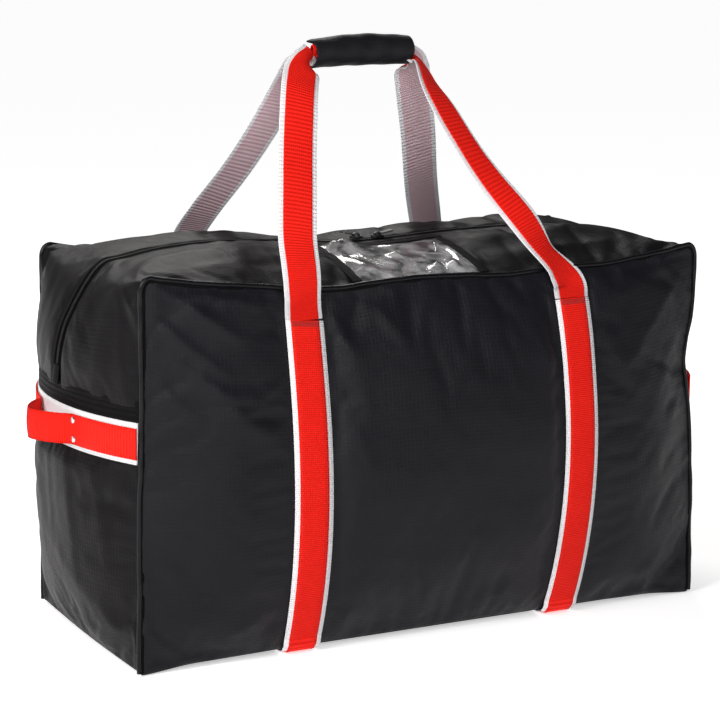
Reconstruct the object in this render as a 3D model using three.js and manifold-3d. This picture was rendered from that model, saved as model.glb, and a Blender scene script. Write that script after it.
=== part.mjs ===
// Ice hockey equipment bag: a soft box of coated fabric with a full-length zip along the top, two pairs of
// webbing straps that wrap the whole bag and meet in one carrying grip, and a riveted grab loop on each end.
//
// Millimetres, +Z up. The origin is the middle of the base, +X runs along the bag's length and -Y is the
// front. "Left" is -X and "right" is +X.
import * as THREE from 'three';
import { mergeVertices } from 'three/addons/utils/BufferGeometryUtils.js';
import Module from 'manifold-3d';

// ---- Bag body -------------------------------------------------------------------------------------------
const LENGTH = 813;          // outside of the end seams
const DEPTH = 350;           // between the front and the back seam planes
const TOP_SEAM = 465;        // height of the front and back top seams at mid-length
const CORNER_RISE = 20;      // how much those seams climb towards the corners
const CORNER_RISE_POWER = 4;
const CORNER_RADIUS = 18;    // of the front and back panels' upper corners
const FABRIC = 3;            // thickness of a lined fabric panel
const FOOT = 10;             // lower edge of the upright panels
const EDGE_GAP = 4.5;        // from a panel's edge to the middle of the piping
const WALL_BULGE = 43;       // how far the filled front and back panels stand out at their fullest
const BULGE_LOW = 0.85;      // below 1 the fullest height sits under the panel's middle
const BULGE_ROUND = 0.9;     // below 1 the bulge is fuller between foot and seam
const BULGE_ENDS = 3.5;      // above 2 the bulge holds on towards the ends
const PIPING_RADIUS = 2.75;
const BINDING_RADIUS = 2.5;  // bound seam allowance inside the bag
const BINDING_INSET = 7;
const CORD_HEIGHTS = [16, 120, 230, 340, 420];
const CORD_STEP = 75;
const CORNER_STEP = 22.5;    // degrees
const BASE_THICKNESS = 7;
const CHANNEL_PLAY = 1;      // on either side of a strap that runs under the base

// ---- Top and zip ----------------------------------------------------------------------------------------
const ZIP_HEIGHT = 499;      // height of the zip line
const ZIP_DIP = 7;           // the zip line sags this much at the sliders
const ZIP_DIP_REACH = 110;
const ZIP_FALL_POWER = 10;   // the zip line stays level and then falls to the corners
const FLAP_END = 375;        // the loose top ends here and the fixed, rounded corners begin
const FLAP_GAP = 3;
const FLAP_EDGE = 14;        // from the seam plane to the flap's outer edge
const FLAP_FABRIC = 2;
const ZIP_SLOT = 9;          // from the zip's middle line to the flap's inner edge
const TAPE_WIDTH = 13;
const TAPE_THICKNESS = 0.8;
const TAPE_GAP = 0.8;        // between the tape and its teeth
const TAPE_DROP = 2.1;       // the tape is sewn under the flap
const TEETH_GAP = 0.3;       // from the zip's middle line to either row of teeth
const TEETH_WIDTH = 2.7;
const TEETH_HEIGHT = 2.4;
const TEETH_DROP = 0.6;
const ZIP_RUN_WIDTH = 26;    // closed zip on the ends of the bag
const ZIP_RUN_GAP = 1;       // above the reinforcing band

// ---- Webbing --------------------------------------------------------------------------------------------
const STRAP_X = 190;         // middle of each pair of straps
const WEBBING_WIDTH = 50.8;
const STRIPE_WIDTH = 38;
const WEBBING = 1.5;         // thickness of either webbing
const LAYER_GAP = 0.8;
const WALL_ROWS = 13;
const STRAP_ROWS = 12;       // the straps are sewn down up to this row of the panels
const HEM_RADIUS = 4;
const HEM_STEPS = 3;

// ---- Carrying handles -----------------------------------------------------------------------------------
const GRIP_X = -20;
const GRIP_HEIGHT = 739;
const GRIP_LENGTH = 136;
const GRIP_RADIUS = 18;
const GRIP_WALL = 2.5;
const GRIP_MOUTH = THREE.MathUtils.degToRad(60);   // half-angle of the opening towards the back handle
const BUNDLE_LENGTH = 142;
const BUNDLE_INNER = 1;      // from the middle plane to the near face of the folded webbing
const BUNDLE_OUTER = 12;
const BUNDLE_HEIGHT = 15;
const HANDLE_END_WIDTH = 24; // the webbing gathers to this width beside the grip
const GATHER_FROM = 0.75;    // share of the strap's length where the gathering begins
const LEAN_HEIGHT = 604;     // from here up the straps are shifted as far as the grip is
// Middle of a handle strap from the bar tack to the grip: distance from the middle, depth, height.
const HANDLE_ROUTE = [
  [190, 195.5, 431],
  [188.5, 190, 452],
  [183, 178, 480],
  [168, 158, 514],
  [127, 93, 604],
  [94, 30, 690],
  [86, 12, 714],
  [84, 8, 732],
];

// ---- Ends: band, webbing, grab loops and rivets ---------------------------------------------------------
const END_WEBBING_HEIGHT = 287;
const BAND_HEIGHT = 25;
const END_HALF_WIDTH = 170;
const TAB_INNER = 52;        // the riveted inner end of each red tab, from the middle
const TAB_OUTER = 168;
const RIVET_Y = 60;
const RIVET_PITCH = 24;
const RIVET_RADIUS = 4.5;
const RIVET_HEAD = 1.8;
const RIVET_SHOULDER = { radius: 0.85, height: 0.7 }; // shares of the head's radius and height
const LOOP_ROOT_X = 449.5;
const LOOP_ROOT_Y = 58;
const LOOP_TIP_X = 479.5;
const GARAGE_WIDTH = 20;
const GARAGE_HEIGHT = 22;

// ---- Identity window ------------------------------------------------------------------------------------
const WINDOW = { left: -103, right: 66, front: -160, back: -51 };
const VINYL = 0.8;
const WINDOW_BINDING = 13;

// ---- Sliders --------------------------------------------------------------------------------------------
const SLIDER_MIDDLE = -8;    // between the two sliders
const SLIDER_OFFSET = 16;
const SLIDER_LENGTH = 16;
const SLIDER_WIDTH = 11;
const SLIDER_BASE = 2.8;
const SLIDER_CLEARANCE = 1.8; // base of the slider above the zip line
const SLIDER_EDGE = [[-1, 0.7], [-0.6, 1], [0.2, 1], [1, 0.6]]; // in half lengths and half widths
const BRIDGE_WIDTH = 3;
const BRIDGE_REACH = 5.5;
const BRIDGE_HEIGHT = 5;
const BRIDGE_SINK = 0.2;     // the bridge's feet are let into the base
const EYE_REACH = 3;
const EYE_HEIGHT = 1.7;
const PULL_BAR = 1.4;        // end bar that lies in the slider's eye
const PULL_EDGE = [[-0.7, 3.4], [4.6, 3.4], [7.5, 6], [20, 6], [22, 4]]; // half outline from bar to tip
const PULL_SLOT = { end: 6, half: 2.1 };
const PULL_THICKNESS = 1.6;
const PULL_TILT = THREE.MathUtils.degToRad(12);

// ---- Mesh divisions -------------------------------------------------------------------------------------
const LONG_COLUMNS = 14;     // of the panels and strips that run along the bag
const FLAP_ROWS = 4;
const END_COLUMNS = 6;
const END_ROWS = 20;
const BAND_COLUMNS = 8;
const TAB_COLUMNS = 3;
const PATCH = [4, 3];
const ZIP_RUN = [2, 10];
const RIBBON_ROWS = 14;      // of the handle straps and grab loops
const ROUND_STEPS = 10;
const GRIP_STEPS = 14;
const PIPING_SIDES = 6;
const BINDING_SIDES = 5;

const FRONT = -1;
const BACK = 1;
const LEFT = -1;
const RIGHT = 1;
const SEAM_X = LENGTH / 2 - PIPING_RADIUS;
const SEAM_Y = DEPTH / 2;
const CORNER_X = SEAM_X - CORNER_RADIUS;
const CORNER_Z = TOP_SEAM + CORNER_RISE - CORNER_RADIUS;
const WEBBING_OFFSET = FABRIC / 2 + LAYER_GAP + WEBBING / 2;
const STRIPE_OFFSET = WEBBING_OFFSET + WEBBING + LAYER_GAP;

// ---- Materials ------------------------------------------------------------------------------------------
const material = (colour, roughness, metalness = 0) =>
  new THREE.MeshStandardMaterial({ color: colour, roughness, metalness });
const coatedNylon = material(0x1c1c20, 0.5);
const toughBase = material(0x161618, 0.6);
const pipingVinyl = material(0x101012, 0.3);
const blackWebbing = material(0x141416, 0.7);
const whiteWebbing = material(0xf0eeee, 0.75);
const redWebbing = material(0xe8231a, 0.7);
const zipTape = material(0x121214, 0.8);
const zipTeeth = material(0x0c0c0e, 0.35);
const sliderMetal = material(0x1a1a1c, 0.3, 0.6);
const rivetMetal = material(0xc8c8ca, 0.25, 1);
const clearVinyl = new THREE.MeshStandardMaterial({
  color: 0xcccccf, roughness: 0.08, metalness: 0, transparent: true, opacity: 0.35,
});
const gripFabric = material(0x17171a, 0.65);

const bag = new THREE.Group();

/** Adds one named piece to the bag. */
function add(name, geometry, look) {
  const mesh = new THREE.Mesh(geometry, look);
  mesh.name = name;
  bag.add(mesh);
}

// ---- Bent plates ----------------------------------------------------------------------------------------
const PROBE = 0.02;          // step, in surface units, used to feel a surface's slope
const STATION_TOLERANCE = 1e-4;
const WELD_DISTANCE = 1e-4;
const { clamp, lerp } = THREE.MathUtils;

/** Outward unit normal of the surface at(u, v), where u and v run from 0 to 1. */
function normalOf(at, u, v) {
  const along = at(Math.min(u + PROBE, 1), v).sub(at(Math.max(u - PROBE, 0), v));
  const up = at(u, Math.min(v + PROBE, 1)).sub(at(u, Math.max(v - PROBE, 0)));
  return along.cross(up).normalize();
}

/** The surface at(u, v) moved outwards by a distance. */
function raised(at, distance) {
  return (u, v) => at(u, v).addScaledVector(normalOf(at, u, v), distance);
}

/** A closed plate of even thickness whose middle surface is at(u, v). */
function bentPlate(at, thickness, columns, rows) {
  const plate = new THREE.BoxGeometry(1, 1, 1, columns, rows, 1);
  const place = plate.attributes.position;
  for (let i = 0; i < place.count; i += 1) {
    const u = clamp(place.getX(i) + 0.5, 0, 1);
    const v = clamp(place.getY(i) + 0.5, 0, 1);
    const point = at(u, v).addScaledVector(normalOf(at, u, v), place.getZ(i) * thickness);
    place.setXYZ(i, point.x, point.y, point.z);
  }
  return plate;
}

/** A closed outline through corner points. */
function outline(corners) {
  return new THREE.Shape(corners.map(([x, y]) => new THREE.Vector2(x, y)));
}

/** Points along an elliptical arc about (0, height), from one angle to another in degrees, ends included. */
function arcPoints(radiusX, radiusY, height, from, to, steps) {
  return Array.from({ length: steps + 1 }, (_, i) => {
    const turn = THREE.MathUtils.degToRad(lerp(from, to, i / steps));
    return [radiusX * Math.cos(turn), height + radiusY * Math.sin(turn)];
  });
}

/** A surface through a list of stations, each a function of u. */
function through(stations) {
  const last = stations.length - 1;
  return (u, v) => {
    const index = Math.min(Math.floor(v * last), last - 1);
    return stations[index](u).lerp(stations[index + 1](u), v * last - index);
  };
}

// ---- The bag's outer surfaces ---------------------------------------------------------------------------

/** Height of the front and back top seams, moved inwards by inset. */
function seamHeight(x, inset = 0) {
  const reach = Math.abs(x);
  if (reach <= CORNER_X) return TOP_SEAM + CORNER_RISE * (reach / CORNER_X) ** CORNER_RISE_POWER - inset;
  const radius = CORNER_RADIUS - inset;
  return CORNER_Z + Math.sqrt(Math.max(radius ** 2 - (reach - CORNER_X) ** 2, 0));
}

/** Height of the zip line over the loose part of the top. */
function zipHeight(x) {
  const dip = ZIP_DIP * Math.exp(-((x / ZIP_DIP_REACH) ** 2));
  const fall = (ZIP_HEIGHT - TOP_SEAM - CORNER_RISE) * (Math.abs(x) / FLAP_END) ** ZIP_FALL_POWER;
  return ZIP_HEIGHT - dip - fall;
}

/** A point on the front or back panel; v runs from the foot to the top edge. */
function wallPoint(side, x, v) {
  const fullness = Math.sin(Math.PI * v ** BULGE_LOW) ** BULGE_ROUND;
  const bulge = WALL_BULGE * (1 - Math.abs(x / SEAM_X) ** BULGE_ENDS) * fullness;
  return new THREE.Vector3(x, side * (SEAM_Y + bulge), lerp(FOOT, seamHeight(x, EDGE_GAP), v));
}

/** The front or back panel's surface between two places along the bag. */
function wall(side, from, to) {
  return (u, v) => wallPoint(side, side === FRONT ? lerp(from, to, u) : lerp(to, from, u), v);
}

/** A point on the arched top. */
function topPoint(x, y) {
  const arch = 1 - (y / SEAM_Y) ** 2;
  return new THREE.Vector3(x, y, lerp(seamHeight(x), zipHeight(x), arch));
}

/** The top's surface over a rectangle of the plan. */
function top(left, right, front, back) {
  return (u, v) => topPoint(lerp(left, right, u), lerp(front, back, v));
}

// Upright profile of an end panel at the seams and at its middle, over the same heights.
const END_HEIGHTS = [FOOT, 100, 200, 287, 350, 400, 430, 455, 470, 480, 484];
const END_AT_SEAM = [404, 404, 404, 404, 404, 404, 404, 404, 403.5, 398, 376];
const END_AT_MIDDLE = [404, 430, 438, 441, 441, 435, 418, 402, 390, 379, 376];
const spline = (across) =>
  new THREE.SplineCurve(across.map((x, i) => new THREE.Vector2(x, END_HEIGHTS[i])));
const seamProfile = spline(END_AT_SEAM);
const middleProfile = spline(END_AT_MIDDLE);

/** A point on an end panel; s runs from its foot, over the rounded corner, to the loose top. */
function endPoint(side, y, s) {
  const atSeam = seamProfile.getPoint(s);
  const atMiddle = middleProfile.getPoint(s);
  const outward = lerp(atSeam.x, atMiddle.x, 1 - (y / SEAM_Y) ** 2);
  return new THREE.Vector3(side * outward, y, atSeam.y);
}

/** The place along an end panel's profile that has a given height. */
function stationAt(height) {
  let low = 0;
  let high = 1;
  while (high - low > STATION_TOLERANCE) {
    const middle = (low + high) / 2;
    if (seamProfile.getPoint(middle).y < height) low = middle;
    else high = middle;
  }
  return low;
}

/** An end panel's surface between two depths and two stations. */
function end(side, from, to, low, high) {
  return (u, v) => endPoint(side, side === RIGHT ? lerp(from, to, u) : lerp(to, from, u), lerp(low, high, v));
}

// ---- Fabric panels --------------------------------------------------------------------------------------

/** The base, with shallow channels that the straps lie in. */
function basePanel() {
  const half = SEAM_X - EDGE_GAP;
  const roof = 2 * WEBBING + 2 * LAYER_GAP;
  const reach = WEBBING_WIDTH / 2 + CHANNEL_PLAY;
  const channels = [-STRAP_X, STRAP_X].flatMap((middle) => [
    [middle - reach, 0],
    [middle - reach, roof],
    [middle + reach, roof],
    [middle + reach, 0],
  ]);
  const left = [[-half, BASE_THICKNESS], [-half, 0]];
  const right = [[half, 0], [half, BASE_THICKNESS]];
  const section = outline([...left, ...channels, ...right]);
  const width = 2 * (SEAM_Y - EDGE_GAP);
  const geometry = new THREE.ExtrudeGeometry(section, { depth: width, bevelEnabled: false });
  return geometry.rotateX(Math.PI / 2).translate(0, width / 2, 0);
}

/** A round cord that follows the front or back seam from one bottom corner over the top to the other. */
function seamCord(side, radius, inset, sides) {
  const reach = SEAM_X - inset;
  const y = side * (SEAM_Y - inset);
  const points = [];
  for (const z of CORD_HEIGHTS) points.push([-reach, z]);
  const round = CORNER_RADIUS - inset;
  for (let angle = 0; angle <= 90; angle += CORNER_STEP) {
    const turn = THREE.MathUtils.degToRad(angle);
    points.push([-CORNER_X - round * Math.cos(turn), CORNER_Z + round * Math.sin(turn)]);
  }
  for (let x = -4 * CORD_STEP; x <= 0; x += CORD_STEP) points.push([x, seamHeight(x) - inset]);
  const otherHalf = points.slice(0, -1).reverse().map(([x, z]) => [-x, z]);
  const places = [...points, ...otherHalf].map(([x, z]) => new THREE.Vector3(x, y, z));
  const route = new THREE.CatmullRomCurve3(places, false, 'centripetal');
  // One section at each place of the route, so that the corners keep their round.
  route.getPointAt = route.getPoint;
  route.getTangentAt = route.getTangent;
  const section = outline(arcPoints(radius, radius, 0, 0, 360, sides).slice(0, -1));
  return new THREE.ExtrudeGeometry(section, { steps: places.length - 1, extrudePath: route });
}

function addBody() {
  const half = SEAM_X - EDGE_GAP;
  for (const [name, side] of [['front', FRONT], ['back', BACK]]) {
    add(`${name}_panel`, bentPlate(wall(side, -half, half), FABRIC, LONG_COLUMNS, WALL_ROWS), coatedNylon);
    add(`${name}_piping`, seamCord(side, PIPING_RADIUS, 0, PIPING_SIDES), pipingVinyl);
    const binding = seamCord(side, BINDING_RADIUS, BINDING_INSET, BINDING_SIDES);
    add(`${name}_seam_binding`, binding, blackWebbing);
  }
  for (const [name, side] of [['left', LEFT], ['right', RIGHT]]) {
    const surface = end(side, -END_HALF_WIDTH, END_HALF_WIDTH, 0, 1);
    add(`${name}_end_panel`, bentPlate(surface, FABRIC, END_COLUMNS, END_ROWS), coatedNylon);
  }
  add('base_panel', basePanel(), toughBase);
}

// ---- Loose top: flaps, zip and identity window ----------------------------------------------------------
function addFlap(name, side) {
  const reach = FLAP_END - FLAP_GAP;
  const strip = (inner, outer) => {
    const edges = [side * inner, side * outer].sort((a, b) => a - b);
    return top(-reach, reach, edges[0], edges[1]);
  };
  const panel = strip(ZIP_SLOT, SEAM_Y - FLAP_EDGE);
  add(`${name}_flap_panel`, bentPlate(panel, FLAP_FABRIC, LONG_COLUMNS, FLAP_ROWS), coatedNylon);
  const tapeEdge = TEETH_WIDTH + TAPE_GAP;
  const tape = raised(strip(tapeEdge, tapeEdge + TAPE_WIDTH), -TAPE_DROP);
  add(`${name}_zip_tape`, bentPlate(tape, TAPE_THICKNESS, LONG_COLUMNS, 1), zipTape);
  const teeth = raised(strip(TEETH_GAP, TEETH_GAP + TEETH_WIDTH), -TEETH_DROP);
  add(`${name}_zip_teeth`, bentPlate(teeth, TEETH_HEIGHT, LONG_COLUMNS, 1), zipTeeth);
}

function addWindow() {
  const { left, right, front, back } = WINDOW;
  const lift = FLAP_FABRIC / 2 + LAYER_GAP + VINYL / 2;
  const outerLeft = left - WINDOW_BINDING;
  const outerRight = right + WINDOW_BINDING;
  const patches = {
    id_window: [left, right, front, back, clearVinyl],
    window_left_binding: [outerLeft, left - LAYER_GAP, front, back, blackWebbing],
    window_right_binding: [right + LAYER_GAP, outerRight, front, back, blackWebbing],
    window_back_binding: [outerLeft, outerRight, back + LAYER_GAP, back + WINDOW_BINDING, blackWebbing],
  };
  for (const [name, [from, to, near, far, look]] of Object.entries(patches)) {
    add(name, bentPlate(raised(top(from, to, near, far), lift), VINYL, ...PATCH), look);
  }
}

/** The closed stretch of zip that runs over a rounded corner and down an end, with the tab that covers it. */
function addZipRun(name, side) {
  const lowest = END_WEBBING_HEIGHT + WEBBING_WIDTH / 2 + BAND_HEIGHT + ZIP_RUN_GAP;
  const run = end(side, -ZIP_RUN_WIDTH / 2, ZIP_RUN_WIDTH / 2, stationAt(lowest), 1);
  add(`${name}_zip_end_run`, bentPlate(raised(run, WEBBING_OFFSET), WEBBING, ...ZIP_RUN), zipTape);
  const garageTop = stationAt(lowest + GARAGE_HEIGHT);
  const garage = end(side, -GARAGE_WIDTH / 2, GARAGE_WIDTH / 2, stationAt(lowest), garageTop);
  add(`${name}_zip_garage`, bentPlate(raised(garage, STRIPE_OFFSET), WEBBING, 2, 1), blackWebbing);
}

// ---- Zip sliders ----------------------------------------------------------------------------------------

/** A manifold solid made from one closed three.js geometry. */
function solidFrom(wasm, geometry) {
  geometry.deleteAttribute('normal');
  geometry.deleteAttribute('uv');
  const merged = mergeVertices(geometry, WELD_DISTANCE);
  return new wasm.Manifold(new wasm.Mesh({
    numProp: 3,
    vertProperties: new Float32Array(merged.attributes.position.array),
    triVerts: new Uint32Array(merged.index.array),
  }));
}

/** A three.js geometry made from a manifold solid. */
function geometryFrom(solid) {
  const mesh = solid.getMesh();
  const geometry = new THREE.BufferGeometry();
  geometry.setAttribute('position', new THREE.BufferAttribute(mesh.vertProperties, 3));
  geometry.setIndex(new THREE.BufferAttribute(mesh.triVerts, 1));
  return geometry;
}

/** The slider's body: a tapered base that stands on z = 0 and a bridge with an eye, tail towards +X. */
function sliderBody(wasm) {
  const edge = SLIDER_EDGE.map(([x, y]) => [x * SLIDER_LENGTH / 2, y * SLIDER_WIDTH / 2]);
  const mirrored = edge.map(([x, y]) => [x, -y]);
  const flat = { depth: SLIDER_BASE, bevelEnabled: false };
  const base = new THREE.ExtrudeGeometry(outline([...mirrored, ...edge.reverse()]), flat);
  const arch = outline(arcPoints(BRIDGE_REACH, BRIDGE_HEIGHT, 0, 0, 180, ROUND_STEPS));
  const eye = arcPoints(EYE_REACH, EYE_HEIGHT, EYE_HEIGHT, 0, 360, ROUND_STEPS).slice(0, -1);
  arch.holes.push(outline(eye));
  const bridge = new THREE.ExtrudeGeometry(arch, { depth: BRIDGE_WIDTH, bevelEnabled: false });
  bridge.rotateX(Math.PI / 2).translate(0, BRIDGE_WIDTH / 2, SLIDER_BASE - BRIDGE_SINK);
  return geometryFrom(solidFrom(wasm, base).add(solidFrom(wasm, bridge)));
}

/** The pull tab: a plate along +X with a slot at its root, whose end bar lies in the slider's eye. */
function pullTab(wasm) {
  const mirrored = PULL_EDGE.map(([x, y]) => [x, -y]);
  const thick = { depth: PULL_THICKNESS, bevelEnabled: false };
  const deep = { depth: 3 * PULL_THICKNESS, bevelEnabled: false };
  const plate = new THREE.ExtrudeGeometry(outline([...mirrored, ...PULL_EDGE.toReversed()]), thick);
  const { end: slotEnd, half } = PULL_SLOT;
  const slot = outline([[PULL_BAR / 2, -half], [slotEnd, -half], [slotEnd, half], [PULL_BAR / 2, half]]);
  const blank = plate.translate(0, 0, -PULL_THICKNESS / 2);
  const cutter = new THREE.ExtrudeGeometry(slot, deep).translate(0, 0, -1.5 * PULL_THICKNESS);
  return geometryFrom(solidFrom(wasm, blank).subtract(solidFrom(wasm, cutter)));
}

function addSlider(wasm, name, side) {
  const x = SLIDER_MIDDLE + side * SLIDER_OFFSET;
  const z = zipHeight(x) + SLIDER_CLEARANCE;
  const turn = side === RIGHT ? 0 : Math.PI;
  add(`${name}_slider_body`, sliderBody(wasm).rotateZ(turn).translate(x, 0, z), sliderMetal);
  const eyeHeight = z + SLIDER_BASE - BRIDGE_SINK + EYE_HEIGHT;
  const pull = pullTab(wasm).rotateY(-PULL_TILT).rotateZ(turn).translate(x, 0, eyeHeight);
  add(`${name}_slider_pull`, pull, sliderMetal);
}

// ---- Straps round the body ------------------------------------------------------------------------------

/** Stations of a strap that is sewn up the front, passes under the base and is sewn up the back. */
function bodyStrapStations(middle, width, offset) {
  const across = (u) => middle + (u - 0.5) * width;
  const onWall = (side, row) => (u) => {
    const x = across(u);
    const surface = (a, v) => wallPoint(side, x - side * (a - 0.5), v);
    return raised(surface, offset)(0.5, row / WALL_ROWS);
  };
  const radius = HEM_RADIUS + offset;
  const hemZ = HEM_RADIUS + STRIPE_OFFSET + WEBBING / 2;
  const onHem = (side, step) => (u) => {
    const turn = (step / HEM_STEPS) * (Math.PI / 2);
    const y = side * (SEAM_Y - HEM_RADIUS + radius * Math.cos(turn));
    return new THREE.Vector3(across(u), y, hemZ - radius * Math.sin(turn));
  };
  const half = (side) => {
    const stations = [];
    for (let row = STRAP_ROWS; row >= 1; row -= 1) stations.push(onWall(side, row));
    for (let step = 0; step <= HEM_STEPS; step += 1) stations.push(onHem(side, step));
    return stations;
  };
  return [...half(FRONT), ...half(BACK).reverse()];
}

function addBodyStrap(name, side) {
  for (const [kind, width, offset, look] of [
    ['webbing', WEBBING_WIDTH, WEBBING_OFFSET, whiteWebbing],
    ['stripe', STRIPE_WIDTH, STRIPE_OFFSET, redWebbing],
  ]) {
    const stations = bodyStrapStations(side * STRAP_X, width, offset);
    add(`${name}_body_${kind}`, bentPlate(through(stations), WEBBING, 1, stations.length - 1), look);
  }
}

// ---- Carrying handles -----------------------------------------------------------------------------------

/** One ribbon of a handle, lifted off the handle's middle surface. */
function handleRibbon(side, face, width, lift) {
  const tack = HANDLE_ROUTE[0];
  const crown = HANDLE_ROUTE.at(-1);
  const places = HANDLE_ROUTE.map(([x, y, z]) => {
    const lean = GRIP_X * Math.min((z - tack[2]) / (LEAN_HEIGHT - tack[2]), 1);
    return new THREE.Vector3(side * x + lean, face * y, z);
  });
  const route = new THREE.CatmullRomCurve3(places);
  const outward = new THREE.Vector3(0, face * (crown[2] - tack[2]), tack[1] - crown[1]).normalize();
  const surface = (u, v) => {
    const across = route.getTangent(v).cross(outward).normalize();
    const gathering = clamp((v - GATHER_FROM) / (1 - GATHER_FROM), 0, 1);
    const gathered = lerp(width, Math.min(width, HANDLE_END_WIDTH), gathering);
    const place = route.getPoint(v).addScaledVector(across, (u - 0.5) * gathered);
    return place.addScaledVector(outward, lift);
  };
  return bentPlate(surface, WEBBING, 1, RIBBON_ROWS);
}

/** The C-shaped wrap that is closed over the front handle and open towards the back one. */
function gripWrap() {
  const section = new THREE.Shape();
  const from = GRIP_MOUTH;
  const to = 2 * Math.PI - GRIP_MOUTH;
  section.absarc(0, 0, GRIP_RADIUS, from, to, false);
  section.absarc(0, 0, GRIP_RADIUS - GRIP_WALL, to, from, true);
  section.closePath();
  const tube = new THREE.ExtrudeGeometry(section, {
    depth: GRIP_LENGTH, bevelEnabled: false, curveSegments: GRIP_STEPS,
  });
  return tube
    .rotateX(Math.PI / 2)
    .rotateZ(Math.PI / 2)
    .translate(GRIP_X - GRIP_LENGTH / 2, 0, GRIP_HEIGHT);
}

function addHandle(name, face) {
  for (const [sideName, side] of [['left', LEFT], ['right', RIGHT]]) {
    const lift = (WEBBING + LAYER_GAP) / 2;
    add(`${name}_${sideName}_handle_webbing`, handleRibbon(side, face, WEBBING_WIDTH, -lift), whiteWebbing);
    add(`${name}_${sideName}_handle_stripe`, handleRibbon(side, face, STRIPE_WIDTH, lift), redWebbing);
  }
  const thickness = BUNDLE_OUTER - BUNDLE_INNER;
  const bundle = new THREE.BoxGeometry(BUNDLE_LENGTH, thickness, BUNDLE_HEIGHT);
  bundle.translate(GRIP_X, face * (BUNDLE_INNER + thickness / 2), GRIP_HEIGHT);
  add(`${name}_grip_webbing`, bundle, redWebbing);
}

// ---- Ends: band, webbing, riveted tabs and grab loops ---------------------------------------------------

/** A strip of webbing laid along an end panel at a given height. */
function endStrip(side, from, to, height, width, offset, columns) {
  const low = stationAt(height - width / 2);
  const high = stationAt(height + width / 2);
  return bentPlate(raised(end(side, from, to, low, high), offset), WEBBING, columns, 1);
}

/** A domed rivet head standing on the end panel's red tab. */
function rivet(side, y, z) {
  const shoulder = [RIVET_RADIUS * RIVET_SHOULDER.radius, RIVET_HEAD * RIVET_SHOULDER.height];
  const profile = [[0, 0], [RIVET_RADIUS, 0], shoulder, [0, RIVET_HEAD]];
  const head = new THREE.LatheGeometry(profile.map(([r, h]) => new THREE.Vector2(r, h)), ROUND_STEPS);
  const surface = end(side, y - 1, y + 1, stationAt(z - 1), stationAt(z + 1));
  const normal = normalOf(surface, 0.5, 0.5);
  const foot = raised(surface, STRIPE_OFFSET + WEBBING / 2 + LAYER_GAP)(0.5, 0.5);
  head.applyQuaternion(new THREE.Quaternion().setFromUnitVectors(new THREE.Vector3(0, 1, 0), normal));
  return head.translate(foot.x, foot.y, foot.z);
}

/** The free, bowed part of a grab loop. */
function grabLoop(side) {
  const rise = LOOP_TIP_X - LOOP_ROOT_X;
  const radius = (LOOP_ROOT_Y ** 2 + rise ** 2) / (2 * rise);
  const centre = LOOP_TIP_X - radius;
  const spread = Math.asin(LOOP_ROOT_Y / radius);
  const surface = (u, v) => {
    const turn = lerp(-spread, spread, v);
    const z = END_WEBBING_HEIGHT + side * (0.5 - u) * STRIPE_WIDTH;
    return new THREE.Vector3(side * (centre + radius * Math.cos(turn)), radius * Math.sin(turn), z);
  };
  return bentPlate(surface, WEBBING, 1, RIBBON_ROWS);
}

function addEnd(name, side) {
  const webbingTop = END_WEBBING_HEIGHT + WEBBING_WIDTH / 2;
  const bandHeight = webbingTop + LAYER_GAP + BAND_HEIGHT / 2;
  for (const [kind, height, width, look] of [
    ['band', bandHeight, BAND_HEIGHT, blackWebbing],
    ['webbing', END_WEBBING_HEIGHT, WEBBING_WIDTH, whiteWebbing],
  ]) {
    const reach = END_HALF_WIDTH;
    const strip = endStrip(side, -reach, reach, height, width, WEBBING_OFFSET, BAND_COLUMNS);
    add(`${name}_end_${kind}`, strip, look);
  }
  for (const [tabName, face] of [['front', FRONT], ['back', BACK]]) {
    const edges = [face * TAB_INNER, face * TAB_OUTER].sort((a, b) => a - b);
    const tab = endStrip(side, ...edges, END_WEBBING_HEIGHT, STRIPE_WIDTH, STRIPE_OFFSET, TAB_COLUMNS);
    add(`${name}_end_${tabName}_tab`, tab, redWebbing);
    for (const [level, lift] of [['lower', -RIVET_PITCH / 2], ['upper', RIVET_PITCH / 2]]) {
      const head = rivet(side, face * RIVET_Y, END_WEBBING_HEIGHT + lift);
      add(`${name}_${tabName}_${level}_rivet`, head, rivetMetal);
    }
  }
  add(`${name}_grab_loop`, grabLoop(side), redWebbing);
}

// ---- The whole bag --------------------------------------------------------------------------------------
const wasm = await Module();
wasm.setup();

addBody();
addFlap('front', FRONT);
addFlap('back', BACK);
addWindow();
for (const [name, side] of [['left', LEFT], ['right', RIGHT]]) {
  addZipRun(name, side);
  addSlider(wasm, name, side);
  addBodyStrap(name, side);
  addEnd(name, side);
}
addHandle('front', FRONT);
addHandle('back', BACK);
add('grip_wrap', gripWrap(), gripFabric);

export default bag;
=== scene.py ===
"""Ice hockey equipment bag: the looks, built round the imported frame.

Shapes are worked out in millimetres and placed in metres: +Z up, the front is -Y, left is -X.
"""
import math
import random

import bpy
import numpy as np
from mathutils import Matrix, Vector


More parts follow.
